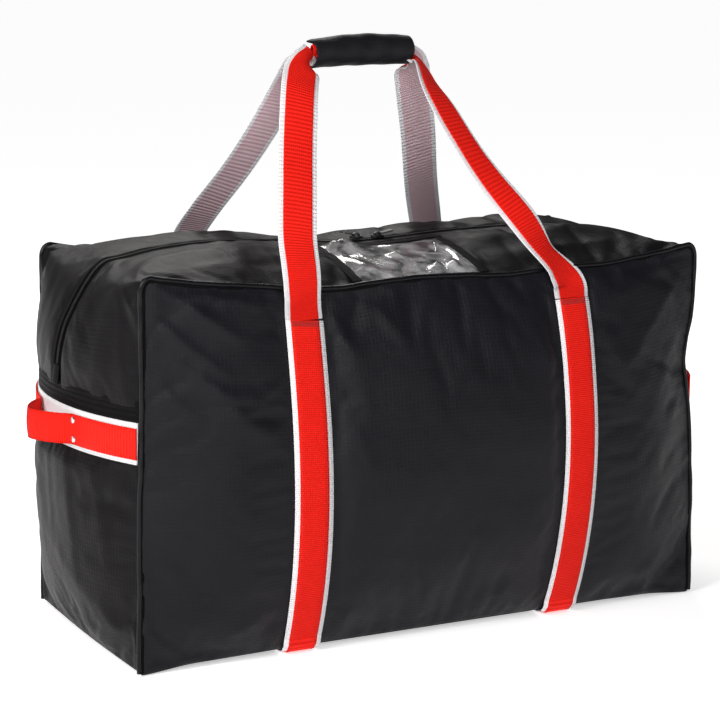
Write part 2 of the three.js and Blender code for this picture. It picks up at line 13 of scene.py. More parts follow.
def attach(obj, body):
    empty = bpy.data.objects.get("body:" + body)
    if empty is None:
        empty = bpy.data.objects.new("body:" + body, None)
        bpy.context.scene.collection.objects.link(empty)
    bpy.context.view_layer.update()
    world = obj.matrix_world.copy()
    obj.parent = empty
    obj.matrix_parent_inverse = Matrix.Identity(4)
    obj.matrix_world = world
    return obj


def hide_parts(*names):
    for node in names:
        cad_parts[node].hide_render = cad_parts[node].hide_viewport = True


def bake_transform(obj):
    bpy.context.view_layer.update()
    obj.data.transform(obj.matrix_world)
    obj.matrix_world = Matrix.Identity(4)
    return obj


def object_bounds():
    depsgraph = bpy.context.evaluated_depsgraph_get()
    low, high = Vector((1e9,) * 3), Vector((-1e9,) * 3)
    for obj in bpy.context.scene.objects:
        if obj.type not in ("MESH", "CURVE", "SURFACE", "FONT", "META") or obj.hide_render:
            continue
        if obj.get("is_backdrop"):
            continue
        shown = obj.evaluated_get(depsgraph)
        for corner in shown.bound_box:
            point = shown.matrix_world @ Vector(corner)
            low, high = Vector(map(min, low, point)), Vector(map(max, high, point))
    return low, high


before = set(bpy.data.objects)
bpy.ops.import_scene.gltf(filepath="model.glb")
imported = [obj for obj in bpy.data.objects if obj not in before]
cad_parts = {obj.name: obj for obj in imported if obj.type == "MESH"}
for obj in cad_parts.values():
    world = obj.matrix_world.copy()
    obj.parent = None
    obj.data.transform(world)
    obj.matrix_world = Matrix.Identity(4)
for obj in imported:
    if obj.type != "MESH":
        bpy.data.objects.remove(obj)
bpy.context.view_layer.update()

MM = 0.001
SCENE = bpy.context.scene
LEFT, RIGHT, FRONT, BACK = -1, 1, -1, 1
SIDES = (("left", LEFT), ("right", RIGHT))
FACES = (("front", FRONT), ("back", BACK))

# ---- Sizes, in millimetres -------------------------------------------------------------------------------
SEAM_X, SEAM_Y = 403.75, 175.0      # the end seams and the front and back seams, from the middle
CORNER_X, CORNER_Z, CORNER_R = 385.75, 467.0, 18.0
TOP_SEAM, CORNER_RISE = 465.0, 20.0
ZIP_HEIGHT = 499.0
FOOT = 6.0
EDGE = 1.5                          # from a panel's edge to the middle of its piping
PIPING_R = 2.9
STRAP_X = 190.0
WEBBING_W, STRIPE_W = 50.8, 38.0
END_WEBBING_Z = 287.0
BAND_TOP = 338.0
SPLIT_X = -110.0                    # the top's halves meet here, under the window's left binding
WINDOW = {"left": -103.0, "right": 66.0, "front": -160.0, "back": -51.0}
GRIP_X, GRIP_Z, GRIP_HALF = -20.0, 739.0, 69.0
HANDLE_LEAN = -14.0
BLEND_OUT, BLEND_IN = 404.0, 295.0  # the top goes from fixed to loose between these


# ---- Shape helpers ---------------------------------------------------------------------------------------
def smooth(low, high, value):
    """0 below low, 1 above high, eased between."""
    t = np.clip((value - low) / (high - low), 0, 1)
    return t * t * (3 - 2 * t)


def bump(value, middle, width):
    return np.exp(-(((value - middle) / width) ** 2))


def ripple(p, q, wavelength, seed, waves=7):
    """Smooth noise over two plane coordinates, made of sine waves in seeded directions."""
    draw = random.Random(seed)
    total = 0
    for _ in range(waves):
        angle = draw.uniform(0, math.pi)
        step = wavelength * draw.uniform(0.65, 1.6)
        phase = draw.uniform(0, 2 * math.pi)
        total = total + np.sin((p * math.cos(angle) + q * math.sin(angle)) * 2 * math.pi / step + phase)
    return total / math.sqrt(waves / 2)


def folds(p, q, lines):
    """Soft creases in a panel: each runs from (p0, q0) to (p1, q1) and has a half-width and a height."""
    total = 0
    for p0, q0, p1, q1, width, height in lines:
        dp, dq = p1 - p0, q1 - q0
        length = math.hypot(dp, dq)
        along = ((p - p0) * dp + (q - q0) * dq) / length**2
        across = ((p - p0) * dq - (q - q0) * dp) / length
        across = across + 0.12 * length * (along - 0.5) ** 2
        taper = np.sin(math.pi * np.clip(along, 0, 1)) ** 0.8
        total = total + height * taper * np.exp(-np.abs(across / width) ** 1.5)
    return total


def unit(vectors):
    return vectors / np.linalg.norm(vectors, axis=-1, keepdims=True)


def lengths(line):
    """How far along a line of points each point lies."""
    return np.concatenate([[0], np.cumsum(np.linalg.norm(np.diff(line, axis=0), axis=1))])


def at_lengths(spots, line, values):
    """The line's points, or other values along it, at the given lengths."""
    return np.stack([np.interp(spots, lengths(line), values[:, k]) for k in range(3)], axis=-1)


def curve_through(points):
    """A smooth curve (Catmull-Rom) through points, as a function of 0 to 1."""
    points = np.array(points, float)
    last = len(points) - 1
    padded = np.vstack([2 * points[0] - points[1], points, 2 * points[-1] - points[-2]])

    def at(t):
        t = np.clip(np.asarray(t, float), 0, 1) * last
        i = np.minimum(t.astype(int), last - 1)
        f = (t - i)[..., None]
        a, b, c, d = (padded[i + k] for k in range(4))
        square, cube = 2 * a - 5 * b + 4 * c - d, 3 * b - a - 3 * c + d
        return 0.5 * (2 * b + (c - a) * f + square * f**2 + cube * f**3)

    return at


def normals_of(surface, u, v, step=0.004):
    along = surface(np.clip(u + step, 0, 1), v) - surface(np.clip(u - step, 0, 1), v)
    up = surface(u, np.clip(v + step, 0, 1)) - surface(u, np.clip(v - step, 0, 1))
    return unit(np.cross(along, up))


def raised(surface, lift):
    """The surface moved along its normal by lift, which may be a function of (u, v)."""
    def at(u, v):
        height = lift(u, v) if callable(lift) else lift
        return surface(u, v) + normals_of(surface, u, v) * np.asarray(height)[..., None]
    return at


def turned(surface, over=True):
    """The same surface with u running the other way, which turns its face over."""
    return (lambda u, v: surface(1 - u, v)) if over else surface


def upended(surface):
    """The same surface with v running the other way."""
    return lambda u, v: surface(u, 1 - v)


def between(first, second):
    """The strip between two lines of equally many points: u runs along them, v from first to second."""
    def at(u, v):
        place = np.clip(u, 0, 1) * (len(first) - 1)
        i = np.minimum(place.astype(int), len(first) - 2)
        f = (place - i)[..., None]
        a = first[i] * (1 - f) + first[i + 1] * f
        b = second[i] * (1 - f) + second[i + 1] * f
        return a * (1 - v[..., None]) + b * v[..., None]
    return at


def new_piece(name, points, faces, looks, uvs=None):
    """A smooth-shaded mesh object from points in millimetres."""
    mesh = bpy.data.meshes.new(name)
    mesh.from_pydata((np.asarray(points, float).reshape(-1, 3) * MM).tolist(), [], faces)
    mesh.polygons.foreach_set("use_smooth", [True] * len(mesh.polygons))
    if uvs is not None:
        layer = mesh.uv_layers.new(name="UVMap")
        corner = np.zeros(len(mesh.loops), int)
        mesh.loops.foreach_get("vertex_index", corner)
        layer.data.foreach_set("uv", (np.asarray(uvs, float).reshape(-1, 2)[corner] * MM).ravel())
    for look in looks if isinstance(looks, (list, tuple)) else [looks]:
        mesh.materials.append(look)
    piece = bpy.data.objects.new(name, mesh)
    SCENE.collection.objects.link(piece)
    return piece


def grid(name, surface, columns, rows, looks, size):
    """A sheet over surface(u, v); size is its flat width and height, used to scale the weave."""
    u, v = np.meshgrid(np.linspace(0, 1, columns + 1), np.linspace(0, 1, rows + 1))
    wide = columns + 1
    faces = [
        (r * wide + c, r * wide + c + 1, (r + 1) * wide + c + 1, (r + 1) * wide + c)
        for r in range(rows)
        for c in range(columns)
    ]
    uvs = np.stack([u * size[0], v * size[1]], axis=-1)
    piece = new_piece(name, surface(u, v), faces, looks, uvs)
    piece["grid"] = (columns, rows)
    return piece


def thicken(piece, thickness, offset=-1.0):
    """Gives a sheet its thickness in millimetres; a second material goes on the inner face."""
    shell = piece.modifiers.new("Thickness", "SOLIDIFY")
    shell.thickness = thickness * MM
    shell.offset = offset
    if len(piece.data.materials) > 1:
        shell.material_offset = 1
    return piece


def soften(piece, levels=1):
    piece.modifiers.new("Smooth", "SUBSURF").levels = levels
    piece.modifiers["Smooth"].render_levels = levels
    return piece


def tube(name, route, radius, look, sides=10, wobble=0.0, seed=0):
    """A round cord along an (n, 3) route."""
    route = np.asarray(route, float)
    tangent = unit(np.gradient(route, axis=0))
    side = unit(np.cross(tangent, (0.0, 1.0, 0.0)))
    up = np.cross(side, tangent)
    length = lengths(route)
    rings, uvs = [], []
    for i, place in enumerate(route):
        reach = radius * (1 + wobble * math.sin(length[i] / 7.0 + seed) * math.sin(length[i] / 3.1))
        for k in range(sides):
            turn = 2 * math.pi * k / sides
            rings.append(place + reach * (math.cos(turn) * side[i] + math.sin(turn) * up[i]))
            uvs.append((length[i], radius * turn))
    faces = [
        (i * sides + k, i * sides + (k + 1) % sides, (i + 1) * sides + (k + 1) % sides, (i + 1) * sides + k)
        for i in range(len(route) - 1)
        for k in range(sides)
    ]
    faces.append(tuple(range(sides)))
    faces.append(tuple(reversed(range((len(route) - 1) * sides, len(route) * sides))))
    return new_piece(name, rings, faces, look, uvs)


def rods(name, starts, ends, outs, radius, look, lift=0.0):
    """Many short rounded bars, such as stitches or zip teeth, as one mesh: each lies from start to end."""
    points, faces = [], []
    for a, b, out in zip(starts, ends, outs):
        a, b = np.asarray(a, float) + out * lift, np.asarray(b, float) + out * lift
        along = b - a
        length = np.linalg.norm(along)
        along /= length
        side = unit(np.cross(along, out))
        middle = (a + b) / 2
        base = len(points)
        for end, reach, high in ((-0.5, 0.55, 0.1), (-0.28, 1.0, 1.0), (0.28, 1.0, 1.0), (0.5, 0.55, 0.1)):
            centre = middle + along * length * end
            for s, h in ((-1, -0.5), (-0.7, 0.75 * high), (0.7, 0.75 * high), (1, -0.5)):
                points.append(centre + side * radius * reach * s + out * radius * h)
        for ring in range(3):
            for k in range(4):
                a0 = base + ring * 4 + k
                a1 = base + ring * 4 + (k + 1) % 4
                faces.append((a0, a1, a1 + 4, a0 + 4))
        faces.append((base + 3, base + 2, base + 1, base))
        faces.append((base + 12, base + 13, base + 14, base + 15))
    return new_piece(name, points, faces, look)


def stitches(name, surface, path, look, pitch=3.2, share=0.66, radius=0.4, lift=0.2):
    """A row of stitches on surface along path, a list of (u, v) places joined by straight lines."""
    starts, ends, outs = [], [], []
    for (u0, v0), (u1, v1) in zip(path, path[1:]):
        many = np.linspace(0, 1, 120)
        line = surface(u0 + (u1 - u0) * many, v0 + (v1 - v0) * many)
        reach = lengths(line)
        count = max(int(reach[-1] / pitch), 1)
        for k in range(count):
            ends_at = np.array([k + 0.17, k + 0.17 + share]) * reach[-1] / count
            t = np.interp(ends_at, reach, many)
            u, v = u0 + (u1 - u0) * t, v0 + (v1 - v0) * t
            ab = surface(u, v)
            starts.append(ab[0])
            ends.append(ab[1])
            outs.append(normals_of(surface, u[:1], v[:1])[0])
    return rods(name, starts, ends, outs, radius, look, lift)


def carry(piece, body, slot, *nodes):
    """A piece that moves with one body and replaces the CAD nodes named; slot is not used."""
    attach(piece, body)
    if nodes:
        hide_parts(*nodes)


def bend(piece, body, start, end, slot, *nodes):
    """A piece whose placement is baked into its mesh, and which replaces the CAD nodes named; body, start,
    end and slot are not used.
    """
    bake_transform(piece)
    if nodes:
        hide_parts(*nodes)


def corner_bend(side):
    """Where the top starts and ends turning from fixed to loose, over one rounded corner."""
    return (side * BLEND_OUT * MM, 0, 0), (side * BLEND_IN * MM, 0, 0)


# ---- Materials -------------------------------------------------------------------------------------------
class Look:
    """A Principled material with a few short calls for its procedural detail."""

    def __init__(self, name, colour, roughness, **sockets):
        self.material = bpy.data.materials.new(name)
        self.material.use_nodes = True
        self.tree = self.material.node_tree
        self.shader = self.tree.nodes["Principled BSDF"]
        self.shader.inputs["Base Color"].default_value = (*colour, 1)
        self.shader.inputs["Roughness"].default_value = roughness
        for key, value in sockets.items():
            self.shader.inputs[key.replace("_", " ")].default_value = value
        self.material.diffuse_color = (*colour, 1)

    def node(self, kind, settings=None, **inputs):
        made = self.tree.nodes.new("ShaderNode" + kind)
        for key, value in (settings or {}).items():
            setattr(made, key, value)
        for key, value in inputs.items():
            key = int(key[1:]) if key[0] == "i" and key[1:].isdigit() else key.replace("_", " ")
            if isinstance(value, bpy.types.NodeSocket):
                self.tree.links.new(value, made.inputs[key])
            else:
                made.inputs[key].default_value = value
        return made

    def math(self, operation, a, b=0.0, c=0.0):
        return self.node("Math", {"operation": operation}, i0=a, i1=b, i2=c).outputs[0]

    def uv(self):
        return self.node("TexCoord").outputs["UV"]

    def place(self):
        return self.node("TexCoord").outputs["Object"]

    def wave(self, where, period, axis, sharp=1.0):
        """Ridges across one axis, period in millimetres."""
        scale = math.pi / 10 / (period * MM)
        made = self.node("TexWave", {"bands_direction": axis}, Vector=where, Scale=scale)
        out = made.outputs["Fac"]
        return out if sharp == 1 else self.math("POWER", out, sharp)

    def noise(self, where, grain, detail=3.0, rough=0.55, warp=0.0):
        """Cloudy noise; grain is its rough size in millimetres."""
        made = self.node("TexNoise", None, Vector=where, Scale=1 / (grain * MM), Detail=detail)
        made.inputs["Roughness"].default_value = rough
        made.inputs["Distortion"].default_value = warp
        return made.outputs["Fac"]

    def mix(self, *parts):
        """The weighted sum of (socket, weight) pairs."""
        total = None
        for socket, weight in parts:
            scaled = self.math("MULTIPLY", socket, weight)
            total = scaled if total is None else self.math("ADD", total, scaled)
        return total

    def tint(self, factor, dark, light):
        ramp = self.node("MapRange", None, Value=factor).outputs[0]
        made = self.node("Mix", {"data_type": "RGBA"})
        self.tree.links.new(ramp, made.inputs[0])
        made.inputs[6].default_value = (*dark, 1)
        made.inputs[7].default_value = (*light, 1)
        self.tree.links.new(made.outputs[2], self.shader.inputs["Base Color"])
        return made

    def gloss(self, factor, low, high):
        made = self.node("MapRange", None, Value=factor)
        made.inputs["To Min"].default_value = low
        made.inputs["To Max"].default_value = high
        self.tree.links.new(made.outputs[0], self.shader.inputs["Roughness"])

    def relief(self, height, distance, strength=1.0):
        made = self.node("Bump", None, Height=height, Distance=distance * MM, Strength=strength)
        self.tree.links.new(made.outputs[0], self.shader.inputs["Normal"])
        return self.material


def fabric(name, dark, light, rough, shine=0.13):
    """Coated ripstop nylon: a fine plain weave with a raised thread every few millimetres."""
    look = Look(name, dark, rough, Specular_IOR_Level=shine)
    uv = look.uv()
    ripstop = look.math("MAXIMUM", look.wave(uv, 5.2, "X", 9.0), look.wave(uv, 5.2, "Y", 9.0))
    weave = look.math("MULTIPLY", look.wave(uv, 0.9, "X"), look.wave(uv, 0.9, "Y"))
    crush = look.noise(uv, 70, 4.0, 0.5, 0.8)
    ridges = look.math("ABSOLUTE", look.math("SUBTRACT", look.noise(uv, 48, 2.0, 0.5, 1.2), 0.5))
    cloud = look.noise(look.place(), 120, 3.0)
    look.tint(look.mix((cloud, 0.7), (ripstop, 0.3)), dark, light)
    look.gloss(look.mix((cloud, 0.6), (look.noise(uv, 6, 2.0), 0.4)), rough - 0.07, rough + 0.07)
    return look.relief(look.mix((crush, 1.0), (ridges, -0.8), (ripstop, 0.13), (weave, 0.09)), 1.5, 0.7)


def lining(name):
    look = Look(name, (0.035, 0.035, 0.038), 0.62)
    uv = look.uv()
    weave = look.math("MULTIPLY", look.wave(uv, 1.4, "X"), look.wave(uv, 1.4, "Y"))
    look.tint(look.noise(uv, 60, 4.0), (0.026, 0.026, 0.029), (0.05, 0.05, 0.054))
    return look.relief(look.mix((weave, 0.1), (look.noise(uv, 20, 4.0), 1.0)), 1.0, 0.6)


def webbing(name, colour, shade, rough, rib=3.3, inner=None):
    """Woven strap: ribs across it and a fine twill; inner is the colour of a stripe that shows through."""
    look = Look(name, colour, rough, Specular_IOR_Level=0.08)
    uv = look.uv()
    ribs = look.wave(uv, rib, "Y", 0.8)
    cords = look.wave(uv, 2.6, "X")
    worn = look.noise(look.place(), 26, 4.0, 0.6)
    fleck = look.noise(uv, 1.6, 2.0)
    twill = look.wave(look.node("Mapping", None, Vector=uv, Rotation=(0, 0, 0.9)).outputs[0], 3.4, "X")
    weave = look.math("MULTIPLY", ribs, cords)
    tone = look.mix((ribs, 0.38), (weave, 0.22), (twill, 0.10), (worn, 0.22), (fleck, 0.20))
    mixed = look.tint(tone, shade, colour)
    if inner:
        u = look.node("SeparateXYZ", None, Vector=uv).outputs[0]
        across = look.math("ABSOLUTE", look.math("SUBTRACT", u, WEBBING_W / 2 * MM))
        behind = look.math("LESS_THAN", across, STRIPE_W / 2 * MM)
        share = look.math("MULTIPLY", behind, look.math("ADD", 0.75, look.math("MULTIPLY", worn, 0.35)))
        cover = look.node("Mix", {"data_type": "RGBA"})
        look.tree.links.new(share, cover.inputs[0])
        look.tree.links.new(mixed.outputs[2], cover.inputs[6])
        cover.inputs[7].default_value = (*inner, 1)
        look.tree.links.new(cover.outputs[2], look.shader.inputs["Base Color"])
    look.gloss(tone, rough + 0.1, rough - 0.08)
    return look.relief(look.mix((ribs, 1.0), (weave, 0.6), (fleck, 0.35)), 0.6)


def tape(name, colour, light, rough, rib=1.6):
    look = Look(name, colour, rough, Specular_IOR_Level=0.03)
    uv = look.uv()
    ribs = look.wave(uv, rib, "X")
    look.tint(look.mix((ribs, 0.5), (look.noise(uv, 9, 3.0), 0.5)), colour, light)
    look.gloss(look.noise(uv, 14, 3.0), rough - 0.06, rough + 0.08)
    return look.relief(look.mix((ribs, 1.0), (look.wave(uv, rib, "Y"), 0.5)), 0.25)


def plain(name, colour, light, rough, grain, depth, metal=0.0, **more):
    """A hard or glossy finish with a faint mottle, scuffed in places."""
    look = Look(name, colour, rough, Metallic=metal, **more)
    where = look.place()
    scuff = look.noise(where, grain, 4.0, 0.6, 0.3)
    look.tint(scuff, colour, light)
    look.gloss(look.noise(where, grain * 2.5, 3.0), max(rough - 0.08, 0.04), rough + 0.12)
    return look.relief(scuff, depth, 0.6)


NYLON = fabric("coated_nylon_black", (0.0058, 0.0058, 0.0078), (0.0098, 0.0096, 0.0125), 0.38)
# Painted shade: the same coated nylon as the front and back, made darker and warmer and given less shine,
# to stand in for how the light falls on the ends and top.
SHADED_TOP_NYLON = fabric("coated_nylon_top_painted_shade", (0.0050, 0.0046, 0.0052), (0.0090, 0.0082, 0.0090), 0.40, 0.06)
LINING = lining("lining_grey")
BASE = fabric("base_fabric_black", (0.010, 0.010, 0.011), (0.016, 0.016, 0.017), 0.6)
PIPING = plain("piping_gloss_black", (0.002, 0.002, 0.003), (0.005, 0.005, 0.006), 0.26, 9, 0.12,
               Specular_IOR_Level=0.18)
RED = webbing("webbing_red", (0.97, 0.022, 0.011), (0.50, 0.003, 0.002), 0.62)
WHITE = webbing("webbing_white", (0.86, 0.85, 0.86), (0.68, 0.67, 0.69), 0.62)
WHITE_SHEER = webbing("webbing_white_inner", (0.84, 0.83, 0.85), (0.70, 0.68, 0.71), 0.5,
                      inner=(0.66, 0.45, 0.49))
BLACK_TAPE = tape("tape_black", (0.0025, 0.0025, 0.003), (0.006, 0.0055, 0.006), 0.5)
ZIP_TAPE = tape("zip_tape_black", (0.002, 0.002, 0.002), (0.004, 0.004, 0.0045), 0.8, 1.1)
TEETH = plain("zip_coil_black", (0.003, 0.003, 0.004), (0.008, 0.008, 0.009), 0.34, 4, 0.05,
              Specular_IOR_Level=0.2)
THREAD_BLACK = plain("thread_black", (0.006, 0.006, 0.007), (0.014, 0.014, 0.015), 0.6, 1.2, 0.1,
                     Specular_IOR_Level=0.15)
THREAD_RED = plain("thread_red", (0.42, 0.010, 0.006), (0.62, 0.02, 0.012), 0.5, 1.2, 0.1)
THREAD_TACK = plain("thread_dark_red", (0.16, 0.004, 0.003), (0.30, 0.008, 0.006), 0.55, 1.2, 0.1)
METAL = plain("slider_metal_black", (0.03, 0.03, 0.032), (0.08, 0.08, 0.085), 0.3, 5, 0.05, 0.9)
RIVET = plain("rivet_nickel", (0.60, 0.59, 0.57), (0.78, 0.77, 0.76), 0.22, 3, 0.05, 1.0)
GRIP = fabric("grip_fabric_black", (0.006, 0.006, 0.007), (0.010, 0.010, 0.012), 0.5)


def vinyl():
    look = Look("clear_vinyl", (0.40, 0.40, 0.41), 0.1, Alpha=0.44, Specular_IOR_Level=1.0, Coat_Weight=1.0)
    look.shader.inputs["Coat Roughness"].default_value = 0.05
    uv = look.uv()
    glare_noise = look.noise(uv, 26, 3.0, 0.55, 0.4)
    # Painted glare: the vinyl's colour runs from near black to white in patches, standing in for light
    # glancing off its creased facets; the same noise also varies its roughness.
    look.tint(look.math("MULTIPLY_ADD", glare_noise, 3.6, -1.3), (0.06, 0.06, 0.065), (1.0, 1.0, 1.0))
    look.gloss(glare_noise, 0.06, 0.14)
    return look.relief(look.noise(uv, 30, 2.0, 0.4, 0.8), 0.8, 0.4)


VINYL = vinyl()


# ---- The bag's outer surfaces ----------------------------------------------------------------------------
def seam_height(x, side=FRONT):
    """Height of the top seams: sagging between the straps and climbing to the corners."""
    reach = np.minimum(np.abs(x), CORNER_X)
    arch = TOP_SEAM + CORNER_RISE * (reach / CORNER_X) ** 4
    sag = 7 * bump(x, -150, 75) + 4 * bump(x, 100, 55) + 2 * bump(x, 250, 40)
    if side == BACK:
        sag = 5 * bump(x, -60, 120) - 4 * bump(x, 300, 80)
    arc = CORNER_Z + np.sqrt(np.maximum(CORNER_R**2 - (np.minimum(np.abs(x), SEAM_X) - CORNER_X) ** 2, 0))
    return np.where(np.abs(x) <= CORNER_X, arch - sag * (1 - (reach / CORNER_X) ** 6), arc)


def seam_reach(side, z):
    """How far the upright seams stand from the middle: drawn in a little by the end webbing."""
    if side == RIGHT:
        return side * (SEAM_X - 6 * smooth(120, 260, z) - 13 * bump(z, 328, 55) + 3 * bump(z, 10, 60))
    return side * (SEAM_X - 5 * smooth(160, 330, z) + 2 * bump(z, 0, 60))


def wall_point(side, x, v):
    """A point on the front or back panel; x is its place on a panel with straight edges."""
    low_full = np.sin(math.pi * v**0.83)
    if side == FRONT:
        right = smooth(-160, 210, x)
        bulge = 41 * low_full * (1 - right) + 55 * np.sin(math.pi * v) ** 0.75 * right
    else:
        bulge = 42 * low_full
    bulge = bulge * (1 - np.abs(x / SEAM_X) ** 3.6)
    foot = FOOT + 3 * bump(x, -120, 180) + 3 * bump(x, 170, 150) - 5 * smooth(330, 404, np.abs(x))
    z = foot + (seam_height(x, side) - EDGE - foot) * v
    side_x = np.where(x < 0, seam_reach(LEFT, z), seam_reach(RIGHT, z))
    pull = (np.abs(side_x) - SEAM_X) * np.sign(x) * (x / SEAM_X) ** 4
    return np.stack([x + pull, side * (SEAM_Y + bulge), z], axis=-1)


def wall(side, low=-SEAM_X + EDGE, high=SEAM_X - EDGE):
    def at(u, v):
        return wall_point(side, low + (high - low) * (u if side == FRONT else 1 - u), v)
    return at


# The ends and the top are one long gusset: these are its run at the seams and along its middle, from the
# foot of the bag over the rounded corner to the middle of the top, as (distance from the middle, height).
FIXED_RUN = (
    ((404, 6), (410, 6)),
    ((404, 60), (426, 60)),
    ((404, 140), (434, 140)),
    ((404, 220), (439, 220)),
    ((404, 287), (441, 287)),
    ((404, 338), (441, 338)),
    ((404, 375), (438.5, 372)),
    ((404, 412), (431, 402)),
    ((403.75, 445), (420, 426)),
    ((403.2, 467), (409, 445)),
    ((399.5, 478.2), (399, 460)),
    ((390.5, 484.0), (387.5, 474)),
    ((374, 484.6), (374, 483.5)),
)
BAND_STATION = 5                    # the row of FIXED_RUN at the top of the band
LOOSE_XS = (350, 320, 285, 250, 210, 170, 130, 90, 45, 0)


def zip_height(x):
    dip = 8 * bump(x, -45, 75) + 3 * bump(x, 40, 60)
    fall = (ZIP_HEIGHT + 3 - 482) * (np.minimum(np.abs(x), 375) / 375) ** 8
    return ZIP_HEIGHT + 2 * bump(np.abs(x), 225, 60) - dip - fall


def gusset_curves(side, face):
    seam = [p[0] for p in FIXED_RUN]
    middle = [p[1] for p in FIXED_RUN]
    for x in LOOSE_XS:
        seam.append((x, float(seam_height(side * x, face))))
        middle.append((x, float(zip_height(side * x))))
    return curve_through(seam), curve_through(middle)


GUSSET = {(s, f): gusset_curves(s, f) for s in (LEFT, RIGHT) for f in (FRONT, BACK)}
STATIONS = len(FIXED_RUN) + len(LOOSE_XS) - 1
BAND_S = BAND_STATION / STATIONS


def gusset_point(side, face, y, s):
    """A point on the gusset; s runs from the foot (0) to the middle of the top (1)."""
    seam, middle = (curve(s) for curve in GUSSET[side, face])
    arch = 1 - np.abs(y / SEAM_Y) ** 2.0
    run = seam + (middle - seam) * arch[..., None]
    pull = np.abs(seam_reach(side, run[..., 1])) - SEAM_X
    fixed = smooth(390, 404, seam[..., 0])
    out = run[..., 0] + pull * fixed * np.abs(y / SEAM_Y) ** 3
    return np.stack([side * out, np.broadcast_to(y, out.shape), run[..., 1]], axis=-1)


def station_of(side, face, target_x=None, target_z=None):
    """The place along the gusset's middle run that has a given distance or height."""
    s = np.linspace(0, 1, 2001)
    run = GUSSET[side, face][1](s)
    if target_z is not None:        # the run climbs all through its first half
        return float(np.interp(target_z, run[:1000, 1], s[:1000]))
    return float(np.interp(-target_x, -run[800:, 0], s[800:]))


def end(side, from_y, to_y, low_z, high_z):
    """An end panel's surface between two depths and two heights; it faces outwards."""
    a, b = station_of(side, FRONT, target_z=low_z), station_of(side, FRONT, target_z=high_z)

    def at(u, v):
        y = from_y + (to_y - from_y) * (u if side == RIGHT else 1 - u)
        return gusset_point(side, FRONT, y, a + (b - a) * v)
    return at


# ---- Cloth ----------------------------------------------------------------------------------------------
CLOTH_FRAMES = 26
hanging = []


def hang(piece, hold, pressure, slack):
    """Gives a panel to the cloth solver; hold is 1 where a seam or strap keeps it in place."""
    group = piece.vertex_groups.new(name="held")
    for index, weight in enumerate(np.asarray(hold, float).ravel()):
        group.add([index], float(weight), "REPLACE")
    cloth = piece.modifiers.new("Cloth", "CLOTH")
    settings = {
        "quality": 7, "mass": 0.3, "air_damping": 4, "tension_stiffness": 25, "compression_stiffness": 12,
        "shear_stiffness": 6, "bending_stiffness": 0.12, "tension_damping": 8, "compression_damping": 8,
        "shear_damping": 8, "vertex_group_mass": "held", "use_pressure": True,
        "uniform_pressure_force": pressure, "shrink_min": -slack,
    }
    for key, value in settings.items():
        setattr(cloth.settings, key, value)
    cloth.settings.effector_weights.gravity = 0
    cloth.collision_settings.use_collision = False
    cloth.point_cache.frame_start = 1
    cloth.point_cache.frame_end = CLOTH_FRAMES
    hanging.append(piece)


def settle():
    """Runs the cloth solver on every hanging panel and keeps the shapes it gives."""
    if not hanging:
        return
    for step in range(1, CLOTH_FRAMES + 1):
        SCENE.frame_set(step)
    scene_now = bpy.context.evaluated_depsgraph_get()
    shapes = {}
    for piece in hanging:
        solved = piece.evaluated_get(scene_now).data
        shape = np.zeros(len(solved.vertices) * 3, np.float32)
        solved.vertices.foreach_get("co", shape)
        shapes[piece.name] = shape
    for piece in hanging:
        piece.modifiers.remove(piece.modifiers["Cloth"])
        piece.vertex_groups.clear()
        piece.data.vertices.foreach_set("co", shapes[piece.name])
        piece.data.update()
    SCENE.frame_set(1)


def emboss(piece, heights):
    """Moves a panel's points along its normals by heights in millimetres."""
    mesh = piece.data
    count = len(mesh.vertices)
    place, normal = np.zeros(count * 3, np.float32), np.zeros(count * 3, np.float32)
    mesh.vertices.foreach_get("co", place)
    mesh.vertices.foreach_get("normal", normal)
    moved = place.reshape(-1, 3) + normal.reshape(-1, 3) * (np.ravel(heights)[:, None] * MM)
    mesh.vertices.foreach_set("co", moved.astype(np.float32).ravel())
    mesh.update()


def lattice(piece):
    columns, rows = piece["grid"]
    return np.meshgrid(np.linspace(0, 1, columns + 1), np.linspace(0, 1, rows + 1))


def from_edges(share, size):
    """How far each point is from the nearer of two edges that lie this far apart."""
    return np.minimum(share, 1 - share) * size


# ---- Front and back panels -------------------------------------------------------------------------------
FRONT_FOLDS = (
    # spreading from the upper left corner
    (-385, 462, -272, 392, 8, 3.4), (-398, 424, -292, 350, 8, 3.4), (-375, 378, -285, 325, 9, 3.2),
    (-388, 466, -230, 436, 7, 2.4), (-330, 340, -215, 262, 13, 2.6), (-398, 350, -330, 300, 8, 2.2),
    # left edge, below the end webbing
    (-400, 300, -345, 285, 6, 1.8), (-400, 270, -350, 262, 5, 1.5), (-400, 240, -340, 222, 6, 1.8),
    (-400, 205, -352, 190, 5, 1.4), (-400, 175, -345, 165, 6, 1.5), (-400, 140, -350, 120, 7, 1.2),
    # beside the straps
    (-158, 440, -128, 370, 10, 3.2), (-95, 440, -60, 385, 9, 2.4), (-150, 330, -110, 220, 12, 1.6),
    (120, 400, 165, 300, 9, 1.6), (230, 400, 285, 290, 12, 1.3), (140, 250, 165, 130, 10, 1.2),
    (-225, 250, -235, 120, 12, 1.2),
    # spreading from the upper right corner and down the right edge
    (392, 450, 262, 330, 12, 1.6), (396, 380, 300, 255, 14, 1.3), (388, 462, 240, 420, 9, 1.3),
    (398, 330, 335, 300, 8, 1.1), (398, 290, 340, 240, 9, 1.0), (398, 230, 345, 190, 9, 0.8),
    # along the foot
    (-300, 30, -240, 60, 12, 1.6), (60, 20, 110, 55, 12, 1.4), (300, 25, 350, 70, 12, 1.6),
)
BACK_FOLDS = tuple((-p0, q0, -p1, q1, width, height) for p0, q0, p1, q1, width, height in FRONT_FOLDS)


def strap_hold(x):
    """1 where a strap is sewn down."""
    return 1 - smooth(WEBBING_W / 2 + 1, WEBBING_W / 2 + 9, np.abs(np.abs(x) - STRAP_X))


